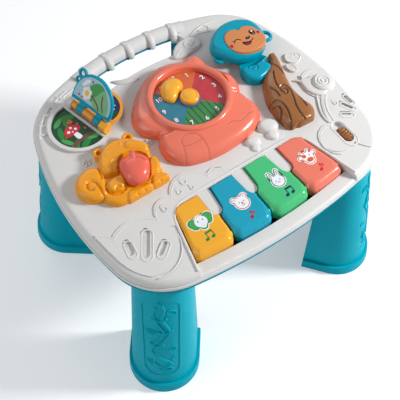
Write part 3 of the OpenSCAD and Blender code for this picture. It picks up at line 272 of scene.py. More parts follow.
SHELL = moulded("shell_white", "#D8D7D5", gloss=0.38, peel=0.08, drift=0.015, shine=0.25)
LEG_TEAL = moulded("leg_plastic", "#00A6BA", gloss=0.42, peel=0.03, shine=0.04)
TEAL = moulded("teal_plastic", "#0099B2", gloss=0.24, peel=0.03, shine=0.16)
TEAL_DEEP = moulded("teal_housing", "#008FA3", gloss=0.5, peel=0.03, shine=0.05)
# the coral and the bark plastics darken their pressed lines with painted shade
CORAL = moulded("coral_plastic", "#E5735A", gloss=0.2, peel=0.02, groove="groove", shine=0.5)
YELLOW = moulded("yellow_key_plastic", "#EDA820", gloss=0.2, peel=0.02, shine=0.45)
SQUIRREL = moulded("squirrel_plastic", "#EC9A08", gloss=0.22, peel=0.02, shine=0.4)
HAND = moulded("hand_plastic", "#F0AA22", gloss=0.2, peel=0.02, shine=0.45)
GREEN = moulded("green_key_plastic", "#3DB974", gloss=0.2, peel=0.02, shine=0.45)
ROSE = moulded("coral_key_plastic", "#E27560", gloss=0.2, peel=0.02, shine=0.45)
KEYBLUE = moulded("teal_key_plastic", "#009AB6", gloss=0.22, peel=0.02, shine=0.35)
ACORN = moulded("acorn_plastic", "#E86450", gloss=0.18, peel=0.02, shine=0.5)
BARK = moulded("bark_plastic", "#935B2A", gloss=0.22, peel=0.02, groove="groove", shine=0.4)
AMBER = moulded("amber_plastic", "#F0991A", gloss=0.22, peel=0.02, shine=0.4)
FACE_TAN = moulded("face_plastic", "#CF8450", gloss=0.3, peel=0.05)
print("plastics ready")

# %% metal, rubber, board and print
def steel(name, code):
    """Plated steel wire and screws: drawn along its length, so its gloss is streaked."""
    m = Nodes(name)
    m.skin.inputs["Metallic"].default_value = 1.0
    m.join(m.mix(m.noise(300.0), shade(srgb(code), 0.85), srgb(code)), m.skin.inputs["Base Color"])
    m.join(m.remap(m.noise(700.0), 0.22, 0.4), m.skin.inputs["Roughness"])
    m.bump(m.noise(1400.0), 0.15, 0.00003)
    return m.material

def rubber(name, code):
    """Matt silicone with a dusty bloom."""
    m = Nodes(name)
    m.join(m.mix(m.noise(90.0, 4.0), srgb(code), shade(srgb(code), 1.8)), m.skin.inputs["Base Color"])
    m.join(m.remap(m.noise(200.0), 0.6, 0.8), m.skin.inputs["Roughness"])
    m.bump(m.noise(1200.0), 0.3, 0.0001)
    return m.material

def printed(name, code):
    """Ink on a film label: nearly even, with the faint grain of the screen."""
    m = Nodes(name)
    base = srgb(code)
    m.join(m.mix(m.noise(GRAIN, 1.0), shade(base, 0.96), shade(base, 1.04)), m.skin.inputs["Base Color"])
    m.join(m.remap(m.noise(250.0), 0.28, 0.38), m.skin.inputs["Roughness"])
    m.skin.inputs["Specular IOR Level"].default_value = 0.2
    m.bump(m.noise(1800.0), 0.05, 0.00002)
    return m.material

def lacquered(name):
    """A circuit board: green lacquer over a net of copper tracks."""
    m = Nodes(name)
    brick = m.add("ShaderNodeTexBrick")
    brick.inputs["Scale"].default_value = 180.0
    brick.inputs["Mortar Size"].default_value = 0.03
    brick.inputs["Color1"].default_value = srgb("#1F6B3E")
    brick.inputs["Color2"].default_value = srgb("#237546")
    brick.inputs["Mortar"].default_value = srgb("#3E9A5E")
    m.join(m.where, brick.inputs["Vector"])
    m.join(brick.outputs["Color"], m.skin.inputs["Base Color"])
    m.join(m.remap(m.noise(300.0), 0.25, 0.4), m.skin.inputs["Roughness"])
    return m.material

STEEL = steel("plated_steel", "#B9BCC0")
RUBBER = rubber("dark_silicone", "#2E2E30")
BOARD = lacquered("circuit_lacquer")
INK = {key: printed("ink_" + key, code) for key, code in {
    "white": "#F4F3F1", "black": "#1A1718", "red": "#C9303E", "orange": "#DB662B",
    "green": "#23803A", "leaf": "#469F55", "mint": "#7DBB86", "sky": "#A5CEE2",
    "night": "#1B2B5A", "cheek": "#B01745", "wood": "#6B4A3A",
    "yellow": "#F6C544", "forest": "#0C4424", "violet": "#5B5BA8", "pale": "#E9EEF2",
    "grey": "#C9D6E2"}.items()}
print(len(INK), "inks")

# %% [markdown]
# ## Every frame piece gets its finish
# The frame's pieces keep their exact shape and only change their material. One table gives each
# its plastic, so that nothing is left in plain grey.

# %% finishes of the frame
FINISH = {
    SHELL: ["top_cover", "book_rod", "click_wheel", "monkey_spindle"],
    LEG_TEAL: ["leg_front_left", "leg_front_right", "leg_back_left", "leg_back_right"],
    TEAL: ["page_teal_frame", "monkey_head", "monkey_arm"],
    TEAL_DEEP: ["lower_housing", "battery_box", "battery_door"],
    YELLOW: ["key_1"], KEYBLUE: ["key_2"], GREEN: ["key_3"], ROSE: ["key_4"],
    CORAL: ["clock_housing"], HAND: ["clock_hand", "book_cap"], ACORN: ["acorn_button"],
    SQUIRREL: ["squirrel"], BARK: ["tree_trunk", "switch_knob"], AMBER: ["page_orange_frame"],
    STEEL: ["key_axle", "clock_spindle", "click_spring", "slide_switch", "battery_contacts",
            "door_screw", "housing_screws", "leg_screws"],
    RUBBER: ["key_pads", "acorn_pad", "speaker"],
    BOARD: ["circuit_board", "acorn_lamp"],
    INK["sky"]: ["page_teal_card"], INK["night"]: ["page_orange_card"],
    INK["forest"]: ["book_panel"], FACE_TAN: ["monkey_face"], INK["red"]: ["clock_dial"],
    INK["violet"]: ["battery_cell_1", "battery_cell_2", "battery_cell_3"],
}
for finish, names in FINISH.items():
    for name in names:
        node[name].data.materials.clear()
        node[name].data.materials.append(finish)
bare = sorted(set(node) - {n for names in FINISH.values() for n in names})
print("finished", len(node) - len(bare), "nodes; left over:", bare)

# %% [markdown]
# ## Three ways to make a surface
# A moulded toy is made of three kinds of form: a skin over a stack of rings, such as a button;
# a round bead that follows a line, such as a rib; and a soft lump where several of these melt
# together, such as an animal. Each gets one helper. All points are worked out as whole arrays.

# %% skins, plates, beads and lumps
def piece(name, points, faces, finish, body, corner, marks):
    """Puts points (mm) and faces into a mesh at the origin, smooth but for edges over corner."""
    mesh = bpy.data.meshes.new(name)
    mesh.from_pydata((np.asarray(points, float) * MM).tolist(), [], faces)
    for key, values in (marks or {}).items():
        mesh.attributes.new(key, "FLOAT", "POINT").data.foreach_set(
            "value", np.asarray(values, np.float32))
    bm = bmesh.new()
    bm.from_mesh(mesh)
    bmesh.ops.recalc_face_normals(bm, faces=bm.faces)
    bm.to_mesh(mesh)
    bm.free()
    mesh.shade_smooth()
    mesh.set_sharp_from_angle(angle=math.radians(corner))
    mesh.materials.append(finish)
    ob = bpy.data.objects.new(name, mesh)
    bpy.context.scene.collection.objects.link(ob)
    if body:
        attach(ob, body)
    return ob

def ring_faces(n, m):
    """Faces that join n rings of m points into a closed skin, with one flat face at each end."""
    i, j = np.meshgrid(np.arange(n - 1), np.arange(m), indexing="ij")
    a, b = i * m + j, i * m + (j + 1) % m
    quads = np.stack([a, b, b + m, a + m], -1).reshape(-1, 4).tolist()
    return quads + [list(range(m))[::-1], list(range((n - 1) * m, n * m))]

def skin(name, rings, finish, body="table", marks=None, corner=40.0):
    """A closed skin over rings[n, m, 3]."""
    rings = np.asarray(rings, float)
    n, m = rings.shape[:2]
    return piece(name, rings.reshape(-1, 3), ring_faces(n, m), finish, body, corner, marks)

def closed(outline):
    """The outline with its first point once more at the end."""
    return np.vstack([outline, outline[:1]])

def at(outline, z):
    """Plan points [n, 2], all at height z."""
    return np.column_stack([outline, np.full(len(outline), z)])

def lifted(spot, z):
    """Plan points [..., 2] with a height for each, as points [..., 3]."""
    return np.concatenate([spot, z[..., None]], -1)

def dome_shares(n, last):
    """Shares of the way out, from 1 at the edge to last at the middle, closer together outside."""
    share = np.cos(np.linspace(0, np.pi / 2, n))
    share[-1] = last
    return share

def shrunk(outline, middle, shares):
    """The outline drawn in towards middle by each share: plan points [shares, points, 2]."""
    return middle + (outline - middle) * shares[:, None, None]

def dent(distance, width):
    """How deep a soft groove is, from 1 on its line to 0 away from it."""
    return np.exp(-(distance / width)**2)

def spline(a, b, c, d, f):
    """A Catmull-Rom spline from b to c at share f of the way; a and d are the points beyond."""
    return 0.5 * (2 * b + (c - a) * f + (2 * a - 5 * b + 4 * c - d) * f**2
                  + (3 * b - a - 3 * c + d) * f**3)

def rounded(points, n):
    """A closed curve through the given points, with n even steps."""
    p = np.asarray(points, float)
    k = len(p)
    t = np.arange(n * 4) / (n * 4) * k
    i, f = t.astype(int), (t % 1)[:, None]
    a, b, c, d = (p[(i + s) % k] for s in (-1, 0, 1, 2))
    curve = closed(spline(a, b, c, d, f))
    gone = np.r_[0, np.cumsum(np.linalg.norm(np.diff(curve, axis=0), axis=1))]
    way = np.arange(n) / n * gone[-1]
    return np.column_stack([np.interp(way, gone, column) for column in curve.T])

def smooth_line(points, n):
    """An open curve of n points through the given points."""
    p = np.asarray(points, float)
    p = np.vstack([2 * p[0] - p[1], p, 2 * p[-1] - p[-2]])
    t = np.linspace(1, len(p) - 2, n)
    i = np.minimum(t.astype(int), len(p) - 3)
    f = (t - i)[:, None]
    a, b, c, d = (p[i + s] for s in (-1, 0, 1, 2))
    return spline(a, b, c, d, f)

def inset(outline, d):
    """The closed outline moved inwards by d, along its own normals."""
    along = np.roll(outline, -1, 0) - np.roll(outline, 1, 0)
    along /= np.linalg.norm(along, axis=1)[:, None] + 1e-9
    area = np.sum(outline[:, 0] * np.roll(outline[:, 1], -1) - outline[:, 1] * np.roll(outline[:, 0], -1))
    return outline + d * np.sign(area) * np.column_stack([-along[:, 1], along[:, 0]])

def swept(middle, r, t):
    """Plan points at distance r and angle t from the middle."""
    return np.column_stack([middle[0] + r * np.cos(t), middle[1] + r * np.sin(t)])

def rotated(u, v, x, y, turn):
    """Plan points (u, v) turned by turn degrees and moved to (x, y)."""
    c, s = math.cos(math.radians(turn)), math.sin(math.radians(turn))
    return np.column_stack([x + c * u - s * v, y + s * u + c * v])

def circle(x, y, r, n=48, squash=1.0, turn=0.0):
    """A circle, or an ellipse of height r*squash turned by turn degrees."""
    t = np.arange(n) / n * 2 * np.pi
    return rotated(r * np.cos(t), r * squash * np.sin(t), x, y, turn)

def union(circles):
    """The outer edge of overlapping circles (x, y, r), seen from the first one's middle: in each
    direction, the furthest point where the ray leaves any of them."""
    u = circle(0, 0, 1, 144)
    c = np.asarray(circles, float)
    rel = c[:, :2] - c[0, :2]
    along = u @ rel.T
    off = np.abs(u[:, :1] * rel[:, 1] - u[:, 1:] * rel[:, 0])
    inside = c[:, 2]**2 - off**2
    reach = np.where(inside > 0, along + np.sqrt(np.maximum(inside, 0)), 0)
    return c[0, :2] + u * reach.max(1)[:, None]

def in_plane(origin, across, up):
    """A function that lays flat (x, y, height) points on a tilted plane."""
    across, up = np.asarray(across, float), np.asarray(up, float)
    frame3 = np.stack([across, up, np.cross(across, up)])
    return lambda p: np.asarray(origin, float) + np.asarray(p, float) @ frame3

FLAT = in_plane((0, 0, 0), (1, 0, 0), (0, 1, 0))

def plate(name, outline, low, high, finish, body="table", edge=0.0, lay=FLAT):
    """A flat plate with an upper edge rounded by edge: a quarter circle of five rings."""
    rings = [at(outline, low)]
    for a in np.linspace(0, np.pi / 2, 5) if edge else (0.0,):
        rings.append(at(inset(outline, edge * (1 - math.cos(a))), high - edge + edge * math.sin(a)))
    return skin(name, lay(np.array(rings)), finish, body)

def cushion(name, outline, low, high, finish, power=2.2):
    """A soft swell over an outline: at share s of the way out the height is (1-s^power)^(1/power)."""
    s = dome_shares(14, 0.02)
    height = low + (high - low) * (1 - s**power)**(1 / power)
    spot = shrunk(outline, outline.mean(0), s)
    z = np.repeat(height[:, None], len(outline), 1)
    return skin(name, lifted(spot, z), finish)

def bead(name, path, r, finish, body="table", sides=14, flat=1.0):
    """A round bead of radius r along an open path[n, 3], with round ends; flat squashes it."""
    path = np.asarray(path, float)
    r = np.broadcast_to(np.asarray(r, float), len(path)).copy()
    along = np.gradient(path, axis=0)
    along /= np.linalg.norm(along, axis=1)[:, None]
    bend = np.linspace(1.35, 0.3, 4)                            # the round end's rings, in radians
    first = np.array([path[0] - along[0] * r[0] * math.sin(q) for q in bend])
    last = np.array([path[-1] + along[-1] * r[-1] * math.sin(q) for q in bend[::-1]])
    radii = np.r_[r[0] * np.cos(bend), r, r[-1] * np.cos(bend[::-1])]
    spine = np.vstack([first, path, last])
    along = np.vstack([np.repeat(along[:1], 4, 0), along, np.repeat(along[-1:], 4, 0)])
    side = np.cross(along, [0, 0, 1.0])
    upright = np.linalg.norm(side, axis=1) < 1e-3
    side[upright] = [1.0, 0, 0]
    side /= np.linalg.norm(side, axis=1)[:, None]
    top = np.cross(side, along)
    t = np.arange(sides) / sides * 2 * np.pi
    rings = (spine[:, None] + radii[:, None, None] * (
        np.cos(t)[None, :, None] * side[:, None] + flat * np.sin(t)[None, :, None] * top[:, None]))
    return skin(name, rings, finish, body, corner=80)

def from_line(points, line):
    """The distance of each point[..., 2] from a drawn line, over the line's short segments."""
    a, b = line[:-1], line[1:]
    ab = b - a
    rel = points[..., None, :] - a
    t = np.clip((rel * ab).sum(-1) / ((ab**2).sum(-1) + 1e-9), 0, 1)
    return np.sqrt(((rel - t[..., None] * ab)**2).sum(-1)).min(-1)

def bake(lump):
    """Gives the object the mesh that its modifiers make, and takes them off."""
    shape = bpy.data.meshes.new_from_object(lump.evaluated_get(bpy.context.evaluated_depsgraph_get()))
    lump.modifiers.clear()
    lump.data = shape

def press(lump, lines, wide, deep):
    """Presses grooves of one width and depth into the lump's upper side, along drawn lines."""
    shape = lump.data
    co, up = np.empty(len(shape.vertices) * 3), np.empty(len(shape.vertices) * 3)
    shape.vertices.foreach_get("co", co)
    shape.vertex_normals.foreach_get("vector", up)
    co, up = co.reshape(-1, 3), up.reshape(-1, 3)
    near = np.concatenate([np.minimum.reduce([from_line(chunk, line) for line in lines])
                           for chunk in np.array_split(co[:, :2] / MM, 40)])
    co[:, 2] -= deep * MM * dent(near, wide) * np.clip(2 * up[:, 2], 0, 1)
    shape.vertices.foreach_set("co", co.ravel())
    shape.update()

def melt(name, parts, finish, body, voxel, rounds, lines, wide, deep, cut):
    """Melts overlapping closed parts into one lump: they are joined, rebuilt on a grid of voxel mm
    and relaxed for some rounds, grooves are pressed along the lines, and then cut is taken away."""
    bpy.ops.object.select_all(action="DESELECT")
    for part in parts:
        part.select_set(True)
    bpy.context.view_layer.objects.active = parts[0]
    bpy.ops.object.join()
    lump = parts[0]
    lump.name = lump.data.name = name
    remesh = lump.modifiers.new("voxels", "REMESH")
    remesh.mode, remesh.voxel_size = "VOXEL", voxel * MM
    relax = lump.modifiers.new("relax", "SMOOTH")
    relax.factor, relax.iterations = 0.5, rounds
    bake(lump)
    press(lump, lines, wide, deep)
    bite = lump.modifiers.new("pocket", "BOOLEAN")
    bite.operation, bite.object, bite.solver = "DIFFERENCE", cut, "EXACT"
    bake(lump)
    bpy.data.objects.remove(cut)
    lump.data.materials.clear()
    lump.data.materials.append(finish)
    lump.data.shade_smooth()
    lump.data.set_sharp_from_angle(angle=math.radians(50))
    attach(lump, body)
    print(name, len(lump.data.polygons), "faces")
    return lump

print("helpers ready")

# %% [markdown]
# ## The clock's animal body
# The clock sits in a coral animal lying on the deck: a rolled ring round the dial, a broad
# belly in front, a paw at its left and two ears. It could be sculpted, but from the clock's
# middle every direction crosses the outline only once, so it is a surface in polar
# coordinates: an outline radius for each direction and one height profile from rim to ring.

# %% clock body
CLOCK = np.array([11.0, 37.0])
BODY_EDGE = [(-60.5, 52), (-62, 45), (-60.5, 32), (-53.5, 21.5), (-48.0, 15.5), (-53.5, 6), (-56.5, -9),
             (-53.5, -20), (-46.5, -29), (-36, -35.5), (-18, -40.5), (1, -42.8), (25, -42), (47, -38),
             (63, -30.5), (71.5, -20.5), (73, -9), (70.5, 4), (69.5, 14), (74.5, 24), (75.5, 36),
             (72, 47), (64.5, 57), (59.5, 67), (61.5, 77), (59, 87.5), (49, 93.5), (37, 92.5), (26, 97.5),
             (11, 101.5), (-4, 99.5), (-18, 94), (-33, 84.5), (-47, 71.5), (-56.5, 60)]

def polar(edge, middle, turns):
    """The outline's radius in each direction, from its own drawn points."""
    line = rounded(edge, 720) - middle
    a = np.arctan2(line[:, 1], line[:, 0])
    order = np.argsort(a)
    return np.interp(turns, np.r_[a[order] - 2 * np.pi, a[order], a[order] + 2 * np.pi],
                     np.tile(np.hypot(*line.T)[order], 3))

RING_OUT, RING_IN, RING_TOP, RING_R = 51.0, 42.7, 255.0, 4.2       # the rolled ring round the dial
DIAL_TOP = 246.4
EARS = [((49, 83), 8.5, 5.0), ((65, 35), 9.5, 4.5), ((-52, 40), 10, 1.5)]   # place, spread, height
PAW_LINES = [smooth_line([(-43, -35), (-35.5, -17), (-33, -9), (-25.4, -5.5), (-16.5, -8), (-12, -16),
                          (-12, -27), (-16, -41)], 60),
             smooth_line([(-35, -16), (-27, -19), (-18, -19.5), (-12, -20)], 20),
             smooth_line([(24, -19), (31, -19.5), (38, -23), (45, -22.5), (52, -20), (60, -21)], 30)]
ARM_CREASE = smooth_line([(-52, 15.5), (-45, 14), (-38, 12), (-33, 11)], 12)
SIDE_FOLD = smooth_line([(74, 15), (66, 14), (58, 17)], 12)

turns = np.linspace(-np.pi, np.pi, 420, endpoint=False)
edge_r = polar(BODY_EDGE, CLOCK, turns)
s = np.linspace(0, 1, 64)[:, None]**1.15
radius = edge_r + (RING_OUT - edge_r) * s                    # from the rim in to the ring's foot
way_in = edge_r - radius
shoulder = np.minimum(12.5, 0.62 * (edge_r - RING_OUT))      # how far in the edge stays round
rise = np.sqrt(np.clip(1 - (1 - np.minimum(way_in / shoulder, 1))**2, 0, 1))
spot = CLOCK + radius[..., None] * np.stack([np.cos(turns), np.sin(turns)], -1)
height = 13.5 * rise + 3.5 * s**2
for ear, spread, tall in EARS:
    height += tall * dent(np.hypot(*(spot - ear).transpose(2, 0, 1)), spread) * rise
lines = np.minimum.reduce([from_line(spot, line) for line in PAW_LINES])
height -= 0.7 * dent(lines, 0.75) + 3.2 * dent(from_line(spot, ARM_CREASE), 3.0) * rise
height -= 3.4 * dent(from_line(spot, SIDE_FOLD), 2.5) * rise
# painted shade: the colour darkens in the pressed paw lines
mark = 0.32 * dent(lines, 0.8)
roll = np.linspace(0.15 * np.pi, 0.98 * np.pi, 14)           # over the rolled ring
mid, half = (RING_OUT + RING_IN) / 2, (RING_OUT - RING_IN) / 2
profile = [(mid + half * math.cos(a), RING_TOP - RING_R + RING_R * math.sin(a)) for a in roll]
profile += [(RING_IN, DIAL_TOP + 0.3), (RING_IN - 0.4, DIAL_TOP), (4.0, DIAL_TOP)]
ring = np.repeat(np.array(profile)[:, None], len(turns), 1)
r_all = np.vstack([edge_r[None], radius, ring[..., 0]])
z_all = np.vstack([np.full((1, len(turns)), DECK - 0.3), DECK + height, ring[..., 1]])
shell = np.stack([CLOCK[0] + r_all * np.cos(turns), CLOCK[1] + r_all * np.sin(turns), z_all], -1)
marks = np.vstack([np.zeros((1, len(turns))), mark, np.zeros(ring.shape[:2])]).ravel()
body = skin("clock_body", shell, CORAL, marks={"groove": marks}, corner=60)
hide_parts("clock_housing")
print("clock body", shell.shape[0] * shell.shape[1], "points, top", z_all.max())

# %% [markdown]
# ## The dial
# The dial is a printed disc in four coloured quarters. Four pie slices could be modelled, but
# print has no thickness, so one material splits the disc by the angle round its middle, and
# adds the dark stripes of the green quarter. Only the numbers stand on it as thin shapes.

# %% dial print
def quarters(name, middle):
    """Four sectors by the sign of x+y and x-y about middle, with stripes on the green one."""
    m = Nodes(name)
    shift = m.add("ShaderNodeMapping")
    shift.inputs["Location"].default_value = (-middle[0] * MM, -middle[1] * MM, 0)
    m.join(m.where, shift.inputs["Vector"])
    axes = m.add("ShaderNodeSeparateXYZ")
    m.join(shift.outputs["Vector"], axes.inputs["Vector"])
    def math2(kind, a, b):
        """The output of a math node; each input is a number or a socket."""
        n = m.add("ShaderNodeMath", operation=kind)
        for socket, v in zip(n.inputs, (a, b)):
            if isinstance(v, float):
                socket.default_value = v
            else:
                m.join(v, socket)
        return n.outputs[0]
    up = math2("GREATER_THAN", math2("ADD", axes.outputs["X"], axes.outputs["Y"]), 0.0)
    right = math2("GREATER_THAN", math2("SUBTRACT", axes.outputs["X"], axes.outputs["Y"]), 0.0)
    wave = m.add("ShaderNodeTexWave", wave_type="BANDS", bands_direction="X")
    wave.inputs["Scale"].default_value = 46.0
    wave.inputs["Distortion"].default_value = 1.2
    m.join(shift.outputs["Vector"], wave.inputs["Vector"])
    bands = m.mix(m.remap(wave.outputs["Fac"], 0, 1, (0.08, 0.2)), srgb("#123F20"), srgb("#2A7D3D"))
    mottle = m.noise(120.0, 4.0)
    orange = m.mix(mottle, srgb("#C04A1E"), srgb("#DA6C30"))
    red = m.mix(mottle, srgb("#A81E2C"), srgb("#C43342"))
    teal = m.mix(mottle, srgb("#11647C"), srgb("#1F7E94"))
    high = m.mix(right, orange, red)
    low = m.mix(right, teal, bands)
    m.join(m.mix(up, low, high), m.skin.inputs["Base Color"])
    m.join(m.remap(m.noise(250.0), 0.28, 0.36), m.skin.inputs["Roughness"])
    m.bump(m.noise(1200.0), 0.1, 0.00002)
    return m.material

node["clock_dial"].data.materials.clear()
node["clock_dial"].data.materials.append(quarters("dial_print", CLOCK))

def sign(name, digits, x, y, size, low, thick, finish, body, fat):
    """Plain digits as thin solid shapes that move with body, centred on x, y; fat widens them."""
    curve = bpy.data.curves.new(name, "FONT")
    curve.body, curve.size, curve.extrude, curve.offset = digits, size * MM, thick / 2 * MM, fat * MM
    curve.align_x, curve.align_y = "CENTER", "CENTER"
    curve.resolution_u = 4
    ob = bpy.data.objects.new(name, curve)
    bpy.context.scene.collection.objects.link(ob)
    bpy.context.view_layer.update()
    mesh = bpy.data.meshes.new_from_object(ob)
    bpy.data.objects.remove(ob)
    co = np.empty(len(mesh.vertices) * 3)
    mesh.vertices.foreach_get("co", co)
    placed = co.reshape(-1, 3) / MM + (x, y, low + thick / 2)
    mesh.vertices.foreach_set("co", (placed * MM).ravel())
    mesh.materials.clear()
    mesh.materials.append(finish)
    mesh.name = name
    ob = bpy.data.objects.new(name, mesh)
    bpy.context.scene.collection.objects.link(ob)
    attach(ob, body)
    return ob

HOUR_R, HOUR_SIZE = 35.6, 8.6        # distance from the middle and height of a number
HOUR_EDGE_Z, HOUR_Z = 247.45, 247.5  # the dark edge lies a little lower than the white number
for hour in range(1, 13):
    a = math.radians(90 - 30 * hour)
    hx, hy = CLOCK + HOUR_R * np.array([math.cos(a), math.sin(a)])
    sign(f"hour_{hour}_edge", str(hour), hx, hy, HOUR_SIZE, HOUR_EDGE_Z, 0.16, INK["black"], "table",
         fat=0.55)
    sign(f"hour_{hour}", str(hour), hx, hy, HOUR_SIZE, HOUR_Z, 0.25, INK["white"], "table", fat=0.22)
print("dial and numbers")

# %% [markdown]
# ## The clock's hand
# The hand is a yellow hub with a wide ring groove and a rounded triangular leaf beside it,
# embossed with two arcs. The hub is a profile turned round; the leaf is a cushion over a drawn
# outline. Both ride on the turning body.

# %% clock hand
def turned(name, profile, middle, finish, body, n=72):
    """A profile of (radius, height) points turned about an upright axis."""
    t = np.arange(n) / n * 2 * np.pi
    p = np.asarray(profile, float)
    rings = np.stack([middle[0] + p[:, :1] * np.cos(t), middle[1] + p[:, :1] * np.sin(t),
                      np.repeat(p[:, 1:], n, 1)], -1)
    return skin(name, rings, finish, body, corner=60)

HUB_PROFILE = [(10.6, 247.9), (11.2, 248.6), (11.3, 251.2), (11.0, 252.6), (10.2, 253.8), (9.2, 254.4),
               (8.7, 254.5), (8.3, 254.1), (8.0, 254.1), (7.5, 254.6), (5.5, 255.3), (3.0, 255.7),
               (0.6, 255.8)]
hub = turned("hand_hub", HUB_PROFILE, CLOCK, HAND, "hand")
turned("hand_washer", [(12.6, 247.62), (13.0, 247.8), (13.0, 248.1), (12.6, 248.3), (0.5, 248.3)],
       CLOCK, INK["violet"], "hand")
LEAF = [(5.0, 49.5), (-1.5, 44.0), (-8.0, 42.0), (-13.0, 45.5), (-15.0, 52.5), (-13.8, 61.0),
        (-9.0, 68.5), (-1.0, 73.0), (7.5, 73.0), (14.0, 69.0), (16.5, 61.5), (13.5, 54.0)]
leaf_edge = rounded(LEAF, 120)
LEAF_LOW, LEAF_TALL = 248.0, 9.0
s = dome_shares(26, 0.01)
spot = shrunk(leaf_edge, leaf_edge.mean(0), s)
arcs = [smooth_line([(-10, 60), (-4, 66), (4, 67)], 20), smooth_line([(-3, 60), (2, 63), (8, 62)], 16)]
near = np.minimum.reduce([from_line(spot, arc) for arc in arcs])
z = (LEAF_LOW + LEAF_TALL * (1 - s**2.6)**(1 / 2.3))[:, None] - 0.45 * dent(near, 0.8)
leaf = skin("hand_leaf", lifted(spot, z), HAND, "hand", corner=70)
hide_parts("clock_hand")
print("hand", len(leaf.data.vertices), "points in its leaf")

# %% [markdown]
# ## The squirrel and its acorn
# The squirrel is one soft lump: a big bent head with two loop ears, a paw and an arm round the
# acorn, two feet and a curled tail. Each part is a thick plate with a round edge and a height of
# its own. Side by side they would show hard seams, so they are melted on a voxel grid and relaxed,
# as clay would be rubbed together, and the finer lines are pressed in. The acorn is a button of
# its own, so the squirrel has a pocket cut for it, a little larger all round.

# %% acorn outline and its pocket
POCKET_GAP, POCKET_FLOOR, POCKET_TOP = 0.8, 242.8, 290       # the top is only above everything
acorn_edge = rounded([(-108.7, 2.8), (-105.6, 5.3), (-100.3, 6.3), (-94.2, 5.9), (-87.5, 3.9),
                      (-82.1, -0.5), (-79.2, -5.6), (-78.1, -9.8), (-79.2, -14.0), (-83.4, -20.9),
                      (-87.9, -26.5), (-92.6, -29.6), (-98.4, -30.9), (-104.0, -30.4), (-108.6, -27.4),
                      (-112.2, -22.2), (-112.9, -16.2), (-112.6, -8.9), (-111.3, -2.5)], 140)
pocket = plate("acorn_pocket", inset(acorn_edge, -POCKET_GAP), POCKET_FLOOR, POCKET_TOP, SHELL, None)
print("acorn", np.ptp(acorn_edge, axis=0).round(1), "mm")

# %% squirrel
SQUIRREL_PARTS = {        # outline, height of its top, radius of its upper edge
    "head": ([(-127.9, 14.1), (-127.6, 8.0), (-125.9, 3.3), (-122.0, 0.6), (-117.0, -1.0),
              (-112.5, -2.5), (-108.5, 2.5), (-105.5, 8.0), (-100.0, 11.0), (-93.0, 11.4), (-86.5, 9.0),
              (-81.0, 4.5), (-78.0, -1.0), (-75.0, -5.5), (-71.0, -3.0), (-68.4, 2.0), (-66.9, 8.3),
              (-68.3, 14.8), (-71.6, 20.0), (-74.6, 25.6), (-78.6, 30.4), (-84.5, 34.4), (-92.3, 37.3),
              (-100.5, 37.9), (-109.5, 35.4), (-117.7, 29.4), (-124.2, 21.5)], 250.0, 6.0),
    "muzzle": ([(-92.0, 21.0), (-88.0, 26.5), (-81.0, 27.0), (-73.0, 22.0), (-67.4, 14.0), (-67.0, 6.5),
                (-70.4, 2.5), (-77.0, 4.0), (-85.0, 10.0), (-90.4, 15.0)], 252.0, 6.0),
    "body": ([(-143.5, -16), (-142.2, -24.4), (-137.4, -31.4), (-131.8, -35.3), (-122.5, -36.6),
              (-112, -34.5), (-95, -33.5), (-76, -32.5), (-70, -26), (-68, -15), (-70, 0), (-90, 12),
              (-115, 10), (-128, 8), (-137, 0)], 243.5, 4.5),
    "tail": ([(-159.3, 14.1), (-163.2, 5.6), (-162.9, -1.0), (-160.7, -7.9), (-155.8, -14.6),
              (-149.0, -18.6), (-142.0, -19.6), (-135.0, -16.0), (-130.0, -6.0), (-126.5, 6.0),
              (-125.0, 15.0), (-131.7, 21.2), (-139.0, 23.3), (-146.6, 21.8), (-154.0, 18.6)],
             246.5, 6.0),
    "paw": ([(-132.2, -10.4), (-128.0, -7.2), (-123.4, -5.8), (-116.3, -5.8), (-110.6, -7.2),
             (-109.4, -11.8), (-112.0, -17.2), (-116.5, -21.4), (-121.6, -23.6), (-127.0, -22.0),
             (-132.2, -19.6), (-134.6, -15.4)], 249.0, 4.0),
    "arm": ([(-74.6, -6.8), (-70.6, -4.6), (-66.8, -7.6), (-66.6, -12.0), (-68.4, -17.4),
             (-71.1, -22.7), (-75.6, -26.4), (-81.0, -26.0), (-85.4, -25.0), (-82.0, -17.0),
             (-77.6, -11.0)], 247.5, 3.6),
    "foot_left": ([(-117.6, -28.0), (-121.6, -33.4), (-121.2, -38.2), (-113.3, -38.4), (-103.8, -38.4),
                   (-94.8, -38.6), (-90.6, -37.4), (-90.6, -32.4), (-98.0, -29.8), (-110.7, -27.6)],
                  245.0, 4.2),
    "foot_right": ([(-87.5, -28.2), (-82.9, -25.4), (-76.5, -25.6), (-71.1, -28.6), (-68.0, -33.0),
                    (-68.4, -37.4), (-75.5, -38.4), (-85.2, -38.4), (-89.8, -37.4), (-89.4, -32.2)],
                   245.0, 4.2)}
PART_FOOT = 230.5                                            # inside the deck
EAR_R, EAR_Z = 4.8, 243.2
parts = [plate("squirrel_" + key, rounded(edge, 120), PART_FOOT, high, SHELL, None, soft)
         for key, (edge, high, soft) in SQUIRREL_PARTS.items()]
for i, (ex, ey, start) in enumerate(((-116.6, 33.6, 70), (-78.0, 33.4, 0))):
    t = np.radians(np.linspace(start - 50, start + 160, 20))
    loop = at(swept((ex, ey), EAR_R, t), EAR_Z)
    parts.append(bead(f"ear_{i}", loop, 2.3, SHELL, None, sides=12))
    parts.append(plate(f"ear_foot_{i}", circle(ex, ey, 5.6), PART_FOOT, 240.5, SHELL, None, 2.0))
